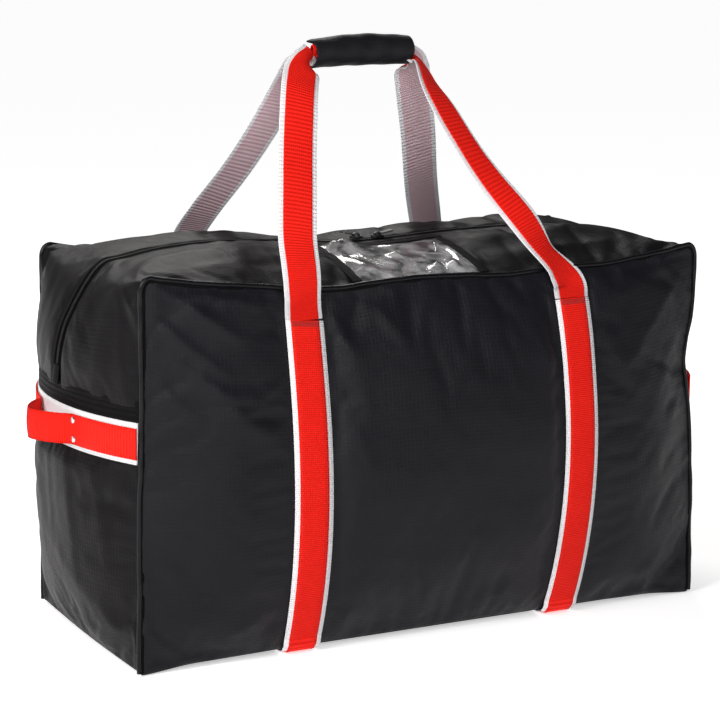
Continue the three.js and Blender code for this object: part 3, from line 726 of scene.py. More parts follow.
PANEL_SIZE, END_SIZE = (805, 480), (350, 285)  # the flat sizes that the weave is laid out on
PANEL_INSIDE, TOP_DEPTH = 470, 165  # a large panel's height between its seams, and a top panel's depth
HELD_FROM, HELD_TO = 1, 7           # a panel is held at its seams and let go over this distance from them

panels = {}
for face_name, face in FACES:
    panel = grid(f"{face_name}_panel_cover", wall(face), 132, 78, [NYLON, LINING], PANEL_SIZE)
    u, v = lattice(panel)
    x = (-SEAM_X + 2 * SEAM_X * u) * (1 if face == FRONT else -1)
    rim = np.minimum(from_edges(u, PANEL_SIZE[0]), from_edges(v, PANEL_INSIDE))
    hold = np.maximum(1 - smooth(HELD_FROM, HELD_TO, rim), strap_hold(x) * smooth(0.0, 0.02, v))
    hang(panel, hold, 1.1, 0.016)
    panels[face_name] = (panel, x, v, rim, hold)

# ---- Ends and top: the gusset ----------------------------------------------------------------------------
ENDS_FOLDS = (
    (-95, 262, -125, 130, 12, 2.6), (-40, 262, -62, 90, 14, 2.8), (20, 262, 12, 120, 13, 2.2),
    (80, 262, 100, 110, 12, 2.4), (-150, 250, -120, 160, 8, 1.8), (135, 250, 120, 150, 9, 2.0),
    (-60, 240, -90, 190, 6, 1.4), (-160, 60, 60, 150, 16, 2.2), (-120, 30, 120, 60, 16, 1.8),
)
for side_name, side in SIDES:
    lower = end(side, -SEAM_Y + EDGE, SEAM_Y - EDGE, FOOT, END_WEBBING_Z + 4)
    # The ends wear the darker copy of the nylon, which paints their shade.
    panel = grid(f"{side_name}_end_cover", lower, 56, 46, [SHADED_TOP_NYLON, LINING], END_SIZE)
    u, v = lattice(panel)
    y = (-SEAM_Y + 2 * SEAM_Y * u) * (1 if side == RIGHT else -1)
    rim = np.minimum(from_edges(u, END_SIZE[0]), v * END_SIZE[1])
    hold = np.maximum(1 - smooth(HELD_FROM, HELD_TO, rim), smooth(0.865, 0.885, v))
    hang(panel, hold, 1.0, 0.022)
    panels[f"{side_name}_end"] = (panel, y, v, rim, hold)

TAPE_EDGE = 13.0                    # the fabric's edge beside the zip, from the zip's middle
UNDER_BAND = 0.012                  # the share of a gusset that the top runs on below the band's edge


def top_surface(side, face):
    """Half of one side of the top: u runs along the bag, v across it; it faces outwards."""
    stop = station_of(side, face, target_x=abs(SPLIT_X)) if side == LEFT else 1.0

    def at(u, v):
        s = BAND_S - UNDER_BAND + (stop - BAND_S + UNDER_BAND) * (u if side == LEFT else 1 - u)
        return gusset_point(side, face, face * (TAPE_EDGE + (SEAM_Y - EDGE - TAPE_EDGE) * v), s)
    if face == FRONT:
        return lambda u, v: at(u, 1 - v)
    return at


def bridge_surface(face):
    """The rest of the top, between the two halves: from the split to the middle."""
    stop = station_of(LEFT, face, target_x=abs(SPLIT_X))

    def at(u, v):
        cross = face * (TAPE_EDGE + (SEAM_Y - EDGE - TAPE_EDGE) * (1 - v if face == FRONT else v))
        return gusset_point(LEFT, face, cross, stop + (1 - stop) * u)
    return at


def joined(first, second, share):
    """Two surfaces side by side along u: the first takes that share of the run."""
    def at(u, v):
        a = first(np.clip(u / share, 0, 1), v)
        b = second(np.clip((u - share) / (1 - share), 0, 1), v)
        return np.where((u < share)[..., None], a, b)
    return at


WINDOW_MARGIN = 15                  # the top is held this far round the window

for face_name, face in FACES:
    for side_name, side in SIDES:
        surface = top_surface(side, face)
        length = 420
        if side == RIGHT:
            surface = joined(bridge_surface(face), surface, 0.175)
            length = 640
        # The top wears the darker copy of the nylon, which paints its shade.
        panel = grid(f"{face_name}_top_{side_name}", surface, round(length / 6), 27,
                     [SHADED_TOP_NYLON, LINING], (length, TOP_DEPTH))
        place = np.array([p.co for p in panel.data.vertices]) / MM
        u, v = lattice(panel)
        x, y = place[:, 0].reshape(u.shape), place[:, 1].reshape(u.shape)
        rim = np.minimum(from_edges(u, length), from_edges(v, TOP_DEPTH))
        framed = (x > WINDOW["left"] - WINDOW_MARGIN) & (x < WINDOW["right"] + WINDOW_MARGIN)
        framed = framed & (y < WINDOW["back"] + WINDOW_MARGIN)
        hold = np.maximum(1 - smooth(HELD_FROM, HELD_TO, rim), framed * 1.0)
        hang(panel, hold, 0.7, 0.022)
        panels[f"{face_name}_{side_name}_top"] = (panel, x, y, rim, hold)

settle()


def crease(panel, hold, rim, fade, relief, seams, thickness):
    """Presses relief, faded out near the rim, and gathers at the seams into a panel, and gives it body."""
    emboss(panel, (relief * smooth(0, fade, rim) + seams) * (1 - hold))
    soften(panel)
    thicken(panel, thickness)


def puckers(p, q, rim, height, reach, wavelength, seed):
    """The cloth's small gathers along a seam."""
    return height * np.exp(-rim / reach) * ripple(p + q, p - q, wavelength, seed)


for face_name, face in FACES:
    panel, x, v, rim, hold = panels[face_name]
    z = v * TOP_SEAM
    drape = 0.8 * ripple(x * 0.5, z * 0.7, 90, 11 + face) + 0.15 * ripple(x, z, 34, 12 + face)
    relief = 1.6 * folds(x, z, FRONT_FOLDS if face == FRONT else BACK_FOLDS)
    crease(panel, hold, rim, 22, relief + drape, puckers(x, z, rim, 0.55, 20, 16, 5 + face), 1.6)
    carry(panel, "shell", "coated_nylon", f"{face_name}_panel")
for side_name, side in SIDES:
    panel, y, v, rim, hold = panels[f"{side_name}_end"]
    z = v * END_SIZE[1]
    drape = 0.7 * ripple(y * 1.1, z * 0.6, 90, 21 + side) + 0.12 * ripple(y, z, 26, 22 + side)
    relief = folds(-side * y, z, ENDS_FOLDS) + drape
    crease(panel, hold, rim, 20, relief, puckers(y, z, rim, 0.5, 16, 15, 23 + side), 1.6)
    carry(panel, "shell", "coated_nylon", f"{side_name}_end_panel")

TOP_FOLDS = (
    (-380, -150, -130, -95, 9, 2.2), (-370, -95, -150, -55, 10, 2.4), (-340, -50, -120, -28, 8, 2.0),
    (-300, -130, -140, -150, 7, 1.4), (90, -90, 330, -60, 11, 2.4), (100, -45, 300, -30, 8, 1.8),
    (120, -140, 340, -120, 9, 1.8), (330, -160, 385, -90, 10, 2.0), (-395, -160, -330, -60, 9, 2.2),
    (-300, 60, -100, 90, 11, 2.4), (-60, 50, 150, 80, 11, 2.0), (160, 110, 350, 60, 10, 2.2),
    (-360, 130, -200, 140, 9, 1.8), (40, 140, 240, 130, 9, 1.6),
)


def valley(x, y):
    """The dark furrow between the identity window and the zip."""
    return -10 * bump(y, -30, 8) * smooth(-125, -75, x) * (1 - smooth(45, 95, x))


for face_name, face in FACES:
    for side_name, side in SIDES:
        panel, x, y, rim, hold = panels[f"{face_name}_{side_name}_top"]
        drape = 0.5 * ripple(x * 0.3, y * 1.1, 60, 31 + face) + 0.12 * ripple(x * 0.8, y, 24, 33 + face)
        crease(panel, hold, rim, 18, folds(x, y, TOP_FOLDS) + drape, valley(x, y), 1.4)
        bend(panel, f"{face_name}_flap", *corner_bend(side),
             "coated_nylon", f"{face_name}_flap_panel", f"{side_name}_end_panel")


# Inside, a strip joins each half of the top to its seam, so that no gap opens when the half is lifted.
JOIN_HALF, JOIN_DEPTH, JOIN_BELOW = 290, 22, 3.2  # half its length, its depth, how far below the top

for face_name, face in FACES:
    def joining(u, v, face=face):
        x = JOIN_HALF * (2 * u - 1)
        y = face * (SEAM_Y - 0.6 - JOIN_DEPTH * (v if face == BACK else 1 - v))
        seam = seam_height(x, face)
        z = seam + (zip_height(x) - seam) * (1 - (y / SEAM_Y) ** 2)
        return np.stack([x, y, z - JOIN_BELOW], axis=-1)

    piece = grid(f"{face_name}_top_joining_strip", joining, 96, 6, [SHADED_TOP_NYLON, LINING], (580, 22))
    thicken(piece, 0.8)
    bend(piece, f"{face_name}_flap", (0, face * 0.1744, 0), (0, face * 0.1534, 0), "coated_nylon")


# ---- Base ------------------------------------------------------------------------------------------------
def base_surface(u, v):
    x = -SEAM_X + 3 + (2 * SEAM_X - 6) * u
    y = -SEAM_Y + 3 + (2 * SEAM_Y - 6) * v
    inward = np.minimum(np.minimum(u, 1 - u) * 800, np.minimum(v, 1 - v) * 345)
    lift = 3 * np.exp(-inward / 8) + 3.2 * strap_hold(x) * smooth(0, 14, inward)
    return np.stack([x, y, 3.4 + lift], axis=-1)


base = grid("base_cover", turned(base_surface), 120, 40, [BASE, LINING], (800, 345))
thicken(base, 2.4)
soften(base)
carry(base, "shell", "base_fabric", "base_panel")


# ---- Piping and seams ------------------------------------------------------------------------------------
def seam_route(face, inset=0.0, out=0.0, step=4.0):
    """Points along a seam from one bottom corner over the top to the other."""
    points = []
    for side in (LEFT, RIGHT):
        upright = []
        for z in np.arange(PIPING_R + 1.5, CORNER_Z, step):
            upright.append((float(seam_reach(side, z)) - side * inset, z))
        shoulder = float(seam_reach(side, CORNER_Z)) - side * inset
        drift = shoulder - side * (SEAM_X - inset)
        for angle in np.arange(0, 90, 6.0):
            turn = math.radians(angle)
            reach = CORNER_R - inset
            points_x = side * (CORNER_X + reach * math.cos(turn)) + drift * math.cos(turn)
            upright.append((points_x, CORNER_Z + reach * math.sin(turn)))
        points.append(upright)
    top = [(x, float(seam_height(x, face)) - inset) for x in np.arange(-CORNER_X, CORNER_X + 1, step)]
    line = [*points[0], *top, *reversed(points[1])]
    return np.array([(x, face * (SEAM_Y + out), z) for x, z in line])


def jitter(route, amount, seed):
    """Small irregularities along a sewn line."""
    length = lengths(route)
    sway = ripple(length, length * 0, 60, seed) * amount
    depth = ripple(length, length * 0, 34, seed + 1) * amount
    return route + np.stack([sway * 0.3, depth, sway * 0.5], axis=-1)


for face_name, face in FACES:
    cord = jitter(seam_route(face), 0.45, 40 + face)
    piping = tube(f"{face_name}_piping_cord", cord, PIPING_R, PIPING, 12)
    carry(piping, "shell", "piping_vinyl", f"{face_name}_piping")
    inside = seam_route(face, 7.0, -7.0, 8.0)
    binding = tube(f"{face_name}_inner_binding", inside, 2.6, BLACK_TAPE, 8, 0.06, face)
    carry(binding, "shell", "black_tape", f"{face_name}_seam_binding")
    # The flat flange that the cord is sewn into shows as a narrow near-black strip on the panel's side of
    # the cord; the strip also paints the shade in the groove beside the cord.
    seam_shade_flange = between(seam_route(face, 5.6, 1.3), seam_route(face, 1.6, 0.9))
    edge = grid(f"{face_name}_piping_seam_shade_flange", turned(seam_shade_flange, face == BACK), 300, 2, BLACK_TAPE, (1600, 6))
    thicken(edge, 0.5, 0.0)
    carry(edge, "shell", "piping_vinyl")
    row = stitches(f"{face_name}_piping_stitches", raised(seam_shade_flange, -0.6),
                   [(0.02 + 0.96 * k / 12, 0.3) for k in range(13)], THREAD_BLACK, 3.4, 0.66, 0.3)
    carry(row, "shell", "piping_vinyl")


# ---- Straps sewn round the body --------------------------------------------------------------------------
TACK_V, FOOT_V = 0.918, 0.03        # the straps are sewn to the panels between these heights
FACE_RUN, UNDER_RUN = 0.42, 0.16    # the shares of a strap's length on each face and under the base
FOOT_ROUND = 0.06                   # the share of the run under the base that rounds each foot
STRAP_HEM, STRAP_UNDER = 5.0, 4.9   # how far inside the seam it lies flat under the base, and how high


def strap_surface(side, width, lift):
    """A strap from the front bar tack down, under the base and up the back."""
    def on_wall(face, x, share):
        w = FOOT_V + (TACK_V - FOOT_V) * np.clip(share, 0, 1)
        ahead = wall_point(face, x, np.minimum(w + 0.01, 1))
        behind = wall_point(face, x, np.maximum(w - 0.01, 0.001))
        slope = unit((ahead - behind)[..., 1:]) * face
        return wall_point(face, x, w) + lift * np.stack([0 * x, slope[..., 1], -slope[..., 0]], axis=-1)

    def at(u, v):
        x = side * STRAP_X + (u - 0.5) * width
        low = STRAP_UNDER - lift + 0 * x

        def rounded(foot, y, share):
            """From the foot of a face round to the flat run."""
            turn = np.clip(share / FOOT_ROUND, 0, 1) * math.pi / 2
            corner = np.stack([x, y + 0 * x, low], axis=-1)
            return foot + (corner - foot) * np.stack([0 * x, 1 - np.cos(turn), np.sin(turn)], axis=-1)

        front = on_wall(FRONT, x, 1 - v / FACE_RUN)
        back = on_wall(BACK, x, (v - 1 + FACE_RUN) / FACE_RUN)
        span = np.clip((v - FACE_RUN) / UNDER_RUN, 0, 1)
        flat = -1 + 2 * np.clip((span - FOOT_ROUND) / (1 - 2 * FOOT_ROUND), 0, 1)
        under = np.stack([x, (SEAM_Y - STRAP_HEM) * flat, low], axis=-1)
        front_arc = rounded(front, -SEAM_Y + STRAP_HEM, span)
        back_arc = rounded(back, SEAM_Y - STRAP_HEM, 1 - span)
        out = np.where((v < FACE_RUN)[..., None], front, back)
        out = np.where(((v >= FACE_RUN) & (span < FOOT_ROUND))[..., None], front_arc, out)
        out = np.where(((span >= FOOT_ROUND) & (span <= 1 - FOOT_ROUND))[..., None], under, out)
        return np.where(((span > 1 - FOOT_ROUND) & (v <= 1 - FACE_RUN))[..., None], back_arc, out)
    return at


WEB_LIFT, STRIPE_LIFT, THREAD_LIFT = 1.5, 3.0, 3.75  # how far each stands off the panel
for side_name, side in SIDES:
    for kind, width, lift, look, slot in (
        ("webbing", WEBBING_W, WEB_LIFT, WHITE, "white_webbing"),
        ("stripe", STRIPE_W, STRIPE_LIFT, RED, "red_webbing"),
    ):
        surface = upended(strap_surface(side, width, lift))
        piece = grid(f"{side_name}_strap_{kind}", surface, 6, 260, look, (width, 1250))
        thicken(piece, 1.4, 0.0)
        carry(piece, "shell", slot, f"{side_name}_body_{kind}")
    over = upended(strap_surface(side, STRIPE_W, THREAD_LIFT))
    for edge_name, across in (("outer", 0.07), ("inner", 0.93)):
        path = [(across, k / 20) for k in range(21)]
        row = stitches(f"{side_name}_strap_{edge_name}_stitches", over, path,
                       THREAD_RED, 3.6, 0.62, 0.36, 0.0)
        carry(row, "shell", "red_webbing")


# ---- Carrying handles ------------------------------------------------------------------------------------
# Middle of a strap from its bar tack to the grip: distance from the middle, depth, height.
LEAVE_Z, LEAN_FULL_Z = 464, 742     # the straps leave the panel, and the whole lean is reached
TACK_ROWS, TACK_STITCHES = 4, 18    # rows in a bar tack, and stitches in each row
HANDLE_RUN = {
    ("front", LEFT): ((190.5, 183, 464), (188, 174, 490), (180, 153, 525), (161, 118, 577),
                      (138, 78, 632), (116, 42, 686), (102, 23, 712), (93, 13, 727), (78, 6, 738)),
    ("front", RIGHT): ((178, 183, 464), (160, 174, 490), (144, 153, 525), (117, 120, 576),
                       (94, 80, 634), (80, 47, 684), (76, 25, 711), (74, 12, 727), (64, 6, 736)),
    ("back", LEFT): ((190, 181.5, 464), (188, 172, 490), (174, 148, 525), (145, 113, 575),
                     (119, 74, 634), (99, 40, 686), (92, 20, 712), (86, 10, 726), (74, 7, 737)),
    ("back", RIGHT): ((187, 181.5, 464), (178, 172, 490), (163, 150, 524), (141, 116, 572),
                      (119, 78, 628), (96, 44, 680), (82, 22, 710), (77, 11, 726), (66, 7, 736)),
}


def handle_surface(face_name, face, side, width, lift):
    """One layer of a free strap: u across it, v from the bar tack to the grip."""
    tack = strap_surface(side, 0, WEB_LIFT)(np.array(0.5), np.array(0.0 if face == FRONT else 1.0))
    leave = wall_point(face, np.array(side * STRAP_X), np.array(0.96)) + np.array((0.0, face * 2.8, 0.0))
    run = [tuple(tack), tuple(leave)]
    for out, depth, z in HANDLE_RUN[face_name, side]:
        lean = HANDLE_LEAN * (z - LEAVE_Z) / (LEAN_FULL_Z - LEAVE_Z)
        run.append((side * out + lean, face * depth, z))
    route = curve_through(run)
    outward = unit(np.array((0.0, face * 0.88, 0.47)))

    def at(u, v):
        place = route(v)
        tangent = unit(route(np.minimum(v + 0.01, 1)) - route(np.maximum(v - 0.01, 0)))
        sewn = np.asarray(1 - smooth(0.0, 0.12, v))[..., None]
        across = unit(np.cross(tangent, outward) * -face * (1 - sewn) + np.array((1.0, 0.0, 0.0)) * sewn)
        normal = np.cross(across, tangent) * -face
        gather = smooth(0.80, 0.985, v)
        reach = (u - 0.5) * width * (1 - 0.46 * gather)
        twist = 0.10 * np.sin(v * 5.2 + side)
        if (face, side) == (FRONT, RIGHT):
            twist = twist - 0.45 * bump(v, 0.27, 0.1)
            twist = twist - 0.22 * smooth(0.4, 0.6, v) - 0.42 * smooth(0.62, 0.84, v)
        else:
            twist = twist + side * 0.55 * gather
        twist = twist * (1 - bump(v, 0, 0.08))
        cup = (6.5 * gather + 0.8 * np.sin(v * math.pi)) * ((u - 0.5) * 2) ** 2
        turned = across * np.cos(twist)[..., None] + normal * np.sin(twist)[..., None]
        facing = normal * np.cos(twist)[..., None] - across * np.sin(twist)[..., None]
        wave = 0.7 * np.sin(v * 31 + side) * smooth(0.05, 0.2, v)
        return place + turned * reach[..., None] + facing * (lift - cup + wave)[..., None]
    return at


for face_name, face in FACES:
    for side_name, side in SIDES:
        for kind, width, lift, looks, slot in (
            ("webbing", WEBBING_W, 0.0, [WHITE, WHITE_SHEER], "white_webbing"),
            ("stripe", STRIPE_W, 1.7, RED, "red_webbing"),
        ):
            surface = handle_surface(face_name, face, side, width, lift)
            piece = grid(f"{face_name}_{side_name}_handle_{kind}_strap", turned(surface, face == BACK),
                         10, 96, looks, (width, 400))
            thicken(piece, 1.4, -1.0 if kind == "webbing" else 0.0)
            soften(piece)
            bend(piece, f"{face_name}_handle", (0, face * 0.187, 0.430), (0, face * 0.181, 0.470),
                 slot, f"{face_name}_{side_name}_handle_{kind}")
        # The bar tack: close rows of stitches through both straps where they leave the panel.
        sewn = strap_surface(side, STRIPE_W, THREAD_LIFT)
        starts, ends = [], []
        for k in range(TACK_ROWS):
            high = TACK_V - 0.004 - 0.0036 * k
            down = (1 - (high - FOOT_V) / (TACK_V - FOOT_V)) * FACE_RUN
            for n in range(TACK_STITCHES):
                across = 0.02 + 0.96 * np.array([n, n + 0.85]) / TACK_STITCHES
                ab = sewn(across, (down if face == FRONT else 1 - down) + np.array([0, 0.0008]))
                starts.append(ab[0])
                ends.append(ab[1])
        outs = [np.array((0.0, face * 0.97, 0.24))] * len(starts)
        tack = rods(f"{face_name}_{side_name}_bar_tack", starts, ends, outs, 0.55, THREAD_TACK)
        carry(tack, "shell", "red_webbing")


# ---- Grip ------------------------------------------------------------------------------------------------
BUNDLE_OUT = 6.6                    # from the grip's middle to the middle of each handle's bundle
WRAP_GAP = math.radians(52)         # half the wrap's opening, towards the back handle
WRAP_RADIUS = 17.6


def bundle_surface(face):
    """The gathered straps inside the wrap: a soft flattened tube along the bag."""
    def at(u, v):
        turn = u * 2 * math.pi
        x = GRIP_X + (v - 0.5) * 2 * (GRIP_HALF - 3)
        thick = 5.2 + 0.7 * np.sin(v * 9 + face)
        tall = 8.6 + 0.6 * np.cos(v * 7)
        shut = smooth(0, 0.04, v) * (1 - smooth(0.96, 1, v))
        thick, tall = thick * (0.55 + 0.45 * shut), tall * (0.7 + 0.3 * shut)
        y = face * BUNDLE_OUT + thick * np.cos(turn)
        return np.stack([x + 0 * turn, y, GRIP_Z + tall * np.sin(turn)], axis=-1)
    return at


for face_name, face in FACES:
    piece = grid(f"{face_name}_grip_bundle", turned(bundle_surface(face)), 20, 40, RED, (44, 140))
    soften(piece)
    thicken(piece, 1.4)
    carry(piece, f"{face_name}_handle", "red_webbing", f"{face_name}_grip_webbing")


def wrap_surface(lift):
    """The padded wrap: round over the front handle, its two lips towards the back one."""
    def at(u, v):
        x = (v - 0.5) * 2
        sweep = WRAP_GAP + u * (2 * math.pi - 2 * WRAP_GAP)
        radius = WRAP_RADIUS + lift + 0.5 * np.sin(u * 9 + x * 3) + 0.45 * ripple(u * 90, x * 60, 30, 61)
        flat = 1 - 0.16 * np.abs(np.sin(sweep)) ** 2
        y = radius * flat * np.cos(sweep) * 0.98
        z = radius * np.sin(sweep) * (1 - 0.05 * x**2)
        sag = 1.4 - 2.6 * x**2 + 2.0 * x
        stub = 11 * bump(u, 0.26, 0.05) * (x < 0) + 3 * bump(u, 0.93, 0.10)
        lengthen = GRIP_HALF + 2 + stub * np.abs(x) ** 6
        return np.stack([GRIP_X + x * lengthen, y, GRIP_Z + z + sag], axis=-1)
    return at


wrap = grid("grip_wrap_cover", turned(wrap_surface(0)), 44, 60, GRIP, (96, 124))
thicken(wrap, 2.4)
soften(wrap)
carry(wrap, "front_handle", "grip_fabric", "grip_wrap")
closing = wrap_surface(1.1)
flap = grid("grip_wrap_closing_flap", lambda u, v: closing(0.92 - 0.24 * u, v), 12, 60, GRIP, (24, 124))
thicken(flap, 1.2)
soften(flap)
carry(flap, "front_handle", "grip_fabric")
for row_name, across in (("upper", 0.30), ("lower", 0.62)):
    row = stitches(f"grip_wrap_{row_name}_stitches", turned(wrap_surface(1.3)),
                   [(across, k / 8) for k in range(9)], THREAD_BLACK, 3.2, 0.66, 0.4, 0.0)
    carry(row, "front_handle", "grip_fabric")


# ---- Ends: band, webbing, riveted red webbing and grab loops ---------------------------------------------
# Half of the red webbing on an end: the sewn part as (depth, stand-off), the free part as (reach, depth).
SEWN_TAB = ((174.8, 5.6), (150, 5.6), (125, 5.6), (100, 5.6), (78, 5.6), (66, 5.9), (56, 7.0))
FREE_LOOP = ((455, 45), (464.5, 33), (472, 20), (477, 8), (478.2, 0))
LOOP_CUP = 1.6                      # how far the free loop's middle stands out past its edges


def loop_surface(side, face):
    """Half of the red webbing on an end, from its seam to the tip of the grab loop."""
    s = np.array(station_of(side, FRONT, target_z=END_WEBBING_Z))
    sewn = [(abs(gusset_point(side, FRONT, np.array(float(y)), s)[0]) + lift, y) for y, lift in SEWN_TAB]
    route = curve_through([(side * x, face * y) for x, y in (*sewn, *FREE_LOOP)])

    def at(u, v):
        plan = route(v)
        lean = side * LOOP_CUP * smooth(0.55, 0.95, v) * (1 - ((u - 0.5) * 2) ** 2)
        z = END_WEBBING_Z + (u - 0.5) * STRIPE_W + 0 * v
        return np.stack([plan[..., 0] + lean, plan[..., 1], z], axis=-1)
    return at


BAND_ROWS = 4                       # rows of stitches along the band, each in a shallow groove


def band_lift(u, v):
    groove = (np.cos(v * BAND_ROWS * 2 * math.pi) > 0.55) * (v > 0.06) * (v < 0.97)
    return 1.6 - 0.7 * groove


for side_name, side in SIDES:
    low, high = END_WEBBING_Z - WEBBING_W / 2, END_WEBBING_Z + WEBBING_W / 2
    band = raised(end(side, -SEAM_Y + 1, SEAM_Y - 1, high - 2, BAND_TOP), band_lift)
    piece = grid(f"{side_name}_end_band_cover", band, 60, 26, BLACK_TAPE, (350, 26))
    thicken(piece, 1.4)
    soften(piece)
    carry(piece, "shell", "black_tape", f"{side_name}_end_band")
    white = raised(end(side, -SEAM_Y + 3, SEAM_Y - 3, low, high), 3.0)
    piece = grid(f"{side_name}_end_webbing_cover", lambda u, v, on=white: on(v, 1 - u),
                 6, 60, WHITE, (WEBBING_W, 350))
    thicken(piece, 1.4)
    carry(piece, "shell", "white_webbing", f"{side_name}_end_webbing")
    seat = raised(end(side, -SEAM_Y + 6, SEAM_Y - 6, high - 2, BAND_TOP), 1.2)
    for k in range(BAND_ROWS):
        row = stitches(f"{side_name}_end_band_stitches_{k + 1}", seat,
                       [(n / 10, (k + 0.5) / BAND_ROWS) for n in range(11)], THREAD_BLACK, 3.0, 0.66, 0.42)
        carry(row, "shell", "black_tape")
    for face_name, face in FACES:
        surface = turned(loop_surface(side, face), side == face)
        piece = grid(f"{side_name}_{face_name}_grab_webbing", surface, 6, 70, RED, (STRIPE_W, 200))
        thicken(piece, 1.5, 0.0)
        bend(piece, f"{side_name}_loop", (0, face * 0.066, 0), (0, face * 0.040, 0),
             "red_webbing", f"{side_name}_end_{face_name}_tab", f"{side_name}_grab_loop")

# ---- Zip -------------------------------------------------------------------------------------------------
TOOTH_PITCH = 2.6
TOOTH_ROOT, TOOTH_TIP = 0.6, 3.7    # how far a tooth reaches back onto its tape and out past it


def zip_line(side, face, offset_y, drop):
    """Points from the band over the corner to the split in the top, beside the zip's middle."""
    stop = station_of(side, face, target_x=abs(SPLIT_X)) if side == LEFT else 1.0
    s = np.linspace(BAND_S - 0.002, stop, 150 if side == LEFT else 170)
    line = gusset_point(side, face, np.full_like(s, face * offset_y), s)
    if side == RIGHT:
        rest = station_of(LEFT, face, target_x=abs(SPLIT_X))
        more = np.linspace(1, rest, 26)[1:]
        line = np.concatenate([line, gusset_point(LEFT, face, np.full_like(more, face * offset_y), more)])
    out = unit(np.cross(unit(np.gradient(line, axis=0)), (0.0, 1.0, 0.0))) * side
    out *= np.sign(out[:, 2] + 0.4 * np.abs(out[:, 0]) * np.sign(out[:, 0] * line[:, 0]))[:, None]
    return line + out * drop, out


for face_name, face in FACES:
    for side_name, side in SIDES:
        tape_strip = between(zip_line(side, face, 3.4, -0.6)[0], zip_line(side, face, 17.0, -1.6)[0])
        piece = grid(f"{face_name}_{side_name}_zip_tape", turned(tape_strip, side == face),
                     150, 4, ZIP_TAPE, (480, 14))
        thicken(piece, 0.7, 0.0)
        over = (f"{face_name}_flap", *corner_bend(side))
        bend(piece, *over, "zip_tape", f"{face_name}_zip_tape", f"{side_name}_zip_end_run")
        line, out = zip_line(side, face, 3.3, 0.6)
        first = 2 + (TOOTH_PITCH / 2 if face == BACK else 0)
        spots = np.arange(first, lengths(line)[-1] - 1, TOOTH_PITCH)
        roots = at_lengths(spots, line, line)
        teeth = rods(f"{face_name}_{side_name}_zip_coil", roots + np.array((0, face * TOOTH_ROOT, 0)),
                     roots - np.array((0, face * TOOTH_TIP, 0)), at_lengths(spots, line, out), 0.75, TEETH)
        bend(teeth, *over, "zip_teeth", f"{face_name}_zip_teeth")
        edge, edge_out = zip_line(side, face, 16.0, 0.9)
        spots = np.arange(2, lengths(edge)[-1] - 3, 3.2)
        row = rods(f"{face_name}_{side_name}_zip_stitches",
                   at_lengths(spots, edge, edge), at_lengths(spots + 2.1, edge, edge),
                   at_lengths(spots, edge, edge_out), 0.36, THREAD_BLACK)
        bend(row, *over, "zip_tape")


def garage_lift(u, v):
    return 3.4 - 1.6 * v + 1.2 * np.sin(math.pi * u)


for side_name, side in SIDES:
    tab = raised(end(side, -11, 11, BAND_TOP - 4, BAND_TOP + 20), garage_lift)
    piece = grid(f"{side_name}_zip_garage_tab", tab, 16, 16, BLACK_TAPE, (22, 26))
    thicken(piece, 1.2)
    soften(piece)
    carry(piece, "shell", "black_tape", f"{side_name}_zip_garage")


# ---- Identity window -------------------------------------------------------------------------------------
def top_patch(left, right, near, far, lift):
    """A patch of the front half of the top, facing up."""
    xs = np.linspace(1, 0.45, 400)
    tables = {}
    for side in (LEFT, RIGHT):
        run = GUSSET[side, FRONT][0](xs)
        order = np.argsort(run[:, 0])
        tables[side] = (run[order, 0], xs[order])

    def base_at(u, v):
        x = left + (right - left) * u
        y = near + (far - near) * v
        s_left = np.interp(np.abs(x), *tables[LEFT])
        s_right = np.interp(np.abs(x), *tables[RIGHT])
        a = gusset_point(LEFT, FRONT, y, s_left)
        b = gusset_point(RIGHT, FRONT, y, s_right)
        return np.where((x < 0)[..., None], a, b)
    return raised(base_at, lift)


CRUMPLES, CRUMPLE_HEIGHT = 15, 7.5
VINYL_WIDTH, VINYL_DEPTH = 170, 110


def crumple(u, v):
    """Stiff vinyl that has been folded many times: flat facets between sharp creases."""
    draw = random.Random(77)
    x, y = u * VINYL_WIDTH, v * VINYL_DEPTH
    total = 0
    for _ in range(CRUMPLES):
        cx, cy = draw.uniform(10, VINYL_WIDTH - 10), draw.uniform(10, VINYL_DEPTH - 10)
        angle = draw.uniform(0, math.pi)
        reach = draw.uniform(22, 60)
        high = draw.uniform(-1.2, 1.5)
        across = (x - cx) * math.sin(angle) - (y - cy) * math.cos(angle)
        along = (x - cx) * math.cos(angle) + (y - cy) * math.sin(angle)
        ridge = np.maximum(0, 1 - np.abs(across) / (reach * 0.45))
        total = total + high * CRUMPLE_HEIGHT * ridge * np.maximum(0, 1 - np.abs(along) / reach)
    rim = np.minimum.reduce([x, VINYL_WIDTH - x, y, VINYL_DEPTH - y])
    return np.maximum(1.6 + (total + 1.6) * smooth(0, 16, rim), 1.1 + 0.05 * total)


window = grid("id_window_vinyl", top_patch(WINDOW["left"] - 5, WINDOW["right"] + 5, WINDOW["front"] - 11,
                                           WINDOW["back"] + 5, crumple), 120, 80, VINYL, (176, 122))
carry(window, "front_flap", "clear_vinyl", "id_window")
BINDING = 13.0
for name, (a, b, c, d) in {
    "left": (WINDOW["left"] - BINDING, WINDOW["left"], WINDOW["front"] - 12, WINDOW["back"] + BINDING),
    "right": (WINDOW["right"], WINDOW["right"] + BINDING, WINDOW["front"] - 12, WINDOW["back"] + BINDING),
    "back": (WINDOW["left"] - BINDING, WINDOW["right"] + BINDING, WINDOW["back"], WINDOW["back"] + BINDING),
}.items():
    def roll(u, v, flat=name == "back"):
        return 2.0 + 1.5 * np.sin(math.pi * (v if flat else u)) + 0.3 * ripple(u * 30, v * 130, 26, 71)
    long_way = name == "back"
    piece = grid(f"window_{name}_binding_tape", top_patch(a, b, c, d, roll), 60 if long_way else 8,
                 8 if long_way else 46, BLACK_TAPE, (b - a, d - c))
    thicken(piece, 1.0)
    soften(piece)
    carry(piece, "front_flap", "black_tape", f"window_{name}_binding")

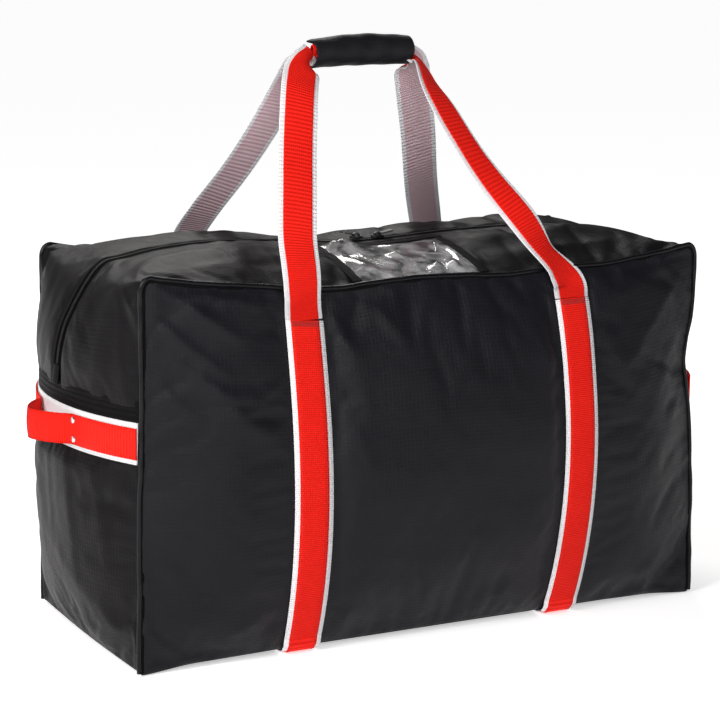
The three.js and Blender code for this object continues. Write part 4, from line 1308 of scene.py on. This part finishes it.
# ---- Carried-over metal ----------------------------------------------------------------------------------
for name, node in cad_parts.items():
    look = METAL if "slider" in name else RIVET if name.endswith("_rivet") else None
    if look is not None:
        node.data.materials.clear()
        node.data.materials.append(look)

# ---- Stage -----------------------------------------------------------------------------------------------
floor_mesh = bpy.data.meshes.new("floor")
ring = [(220 * math.cos(2 * math.pi * k / 96), 220 * math.sin(2 * math.pi * k / 96), 0) for k in range(96)]
floor_mesh.from_pydata(ring, [], [tuple(range(96))])
floor = bpy.data.objects.new("floor", floor_mesh)
SCENE.collection.objects.link(floor)
floor_look = Look("floor_pale", (0.9, 0.9, 0.9), 0.6, Emission_Color=(1, 1, 1, 1), Specular_IOR_Level=0.1)
away = floor_look.node("VectorMath", {"operation": "LENGTH"}, i0=floor_look.place()).outputs["Value"]
glow = floor_look.node("MapRange", None, Value=away, From_Min=0.9, From_Max=2.4, To_Min=0.50, To_Max=0.88)
floor_look.tree.links.new(glow.outputs[0], floor_look.shader.inputs["Emission Strength"])
floor_mesh.materials.append(floor_look.material)
floor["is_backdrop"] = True

world = bpy.data.worlds.new("studio")
world.use_nodes = True
SCENE.world = world
world.node_tree.nodes["Background"].inputs["Color"].default_value = (1, 1, 1, 1)
world.node_tree.nodes["Background"].inputs["Strength"].default_value = 0.10


def softbox(name, place, target, width, height, power, colour=(1, 1, 1)):
    data = bpy.data.lights.new(name, "AREA")
    data.shape = "RECTANGLE"
    data.size, data.size_y = width, height
    data.energy = power
    data.color = colour
    lamp = bpy.data.objects.new(name, data)
    lamp.location = place
    lamp.rotation_mode = "QUATERNION"
    lamp.rotation_quaternion = (Vector(target) - Vector(place)).to_track_quat("-Z", "Y")
    SCENE.collection.objects.link(lamp)


softbox("key", (-2.9, -1.1, 2.0), (0, 0, 0.3), 1.2, 1.2, 96, (1.0, 0.97, 0.96))
softbox("front_fill", (-1.3, -3.5, 2.1), (0, 0, 0.3), 1.2, 1.2, 66, (0.97, 0.98, 1.0))
softbox("top_rim", (0.3, 2.4, 2.4), (0, 0, 0.4), 2.4, 0.9, 60, (1.0, 0.98, 0.96))

SCENE.view_settings.view_transform = "Standard"

# ---- Camera ----------------------------------------------------------------------------------------------
camera_data = bpy.data.cameras.new("camera")
camera_data.lens = 106
camera_data.sensor_width = 36
camera = bpy.data.objects.new("camera", camera_data)
SCENE.collection.objects.link(camera)
place, target = Vector((-1.3066, -2.4676, 0.836)), Vector((-0.0165, 0, 0.330))
turn = (target - place).to_track_quat("-Z", "Y").to_matrix() @ Matrix.Rotation(math.radians(0.4), 3, "Z")
camera.matrix_world = Matrix.Translation(place) @ turn.to_4x4()
SCENE.camera = camera

low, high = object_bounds()
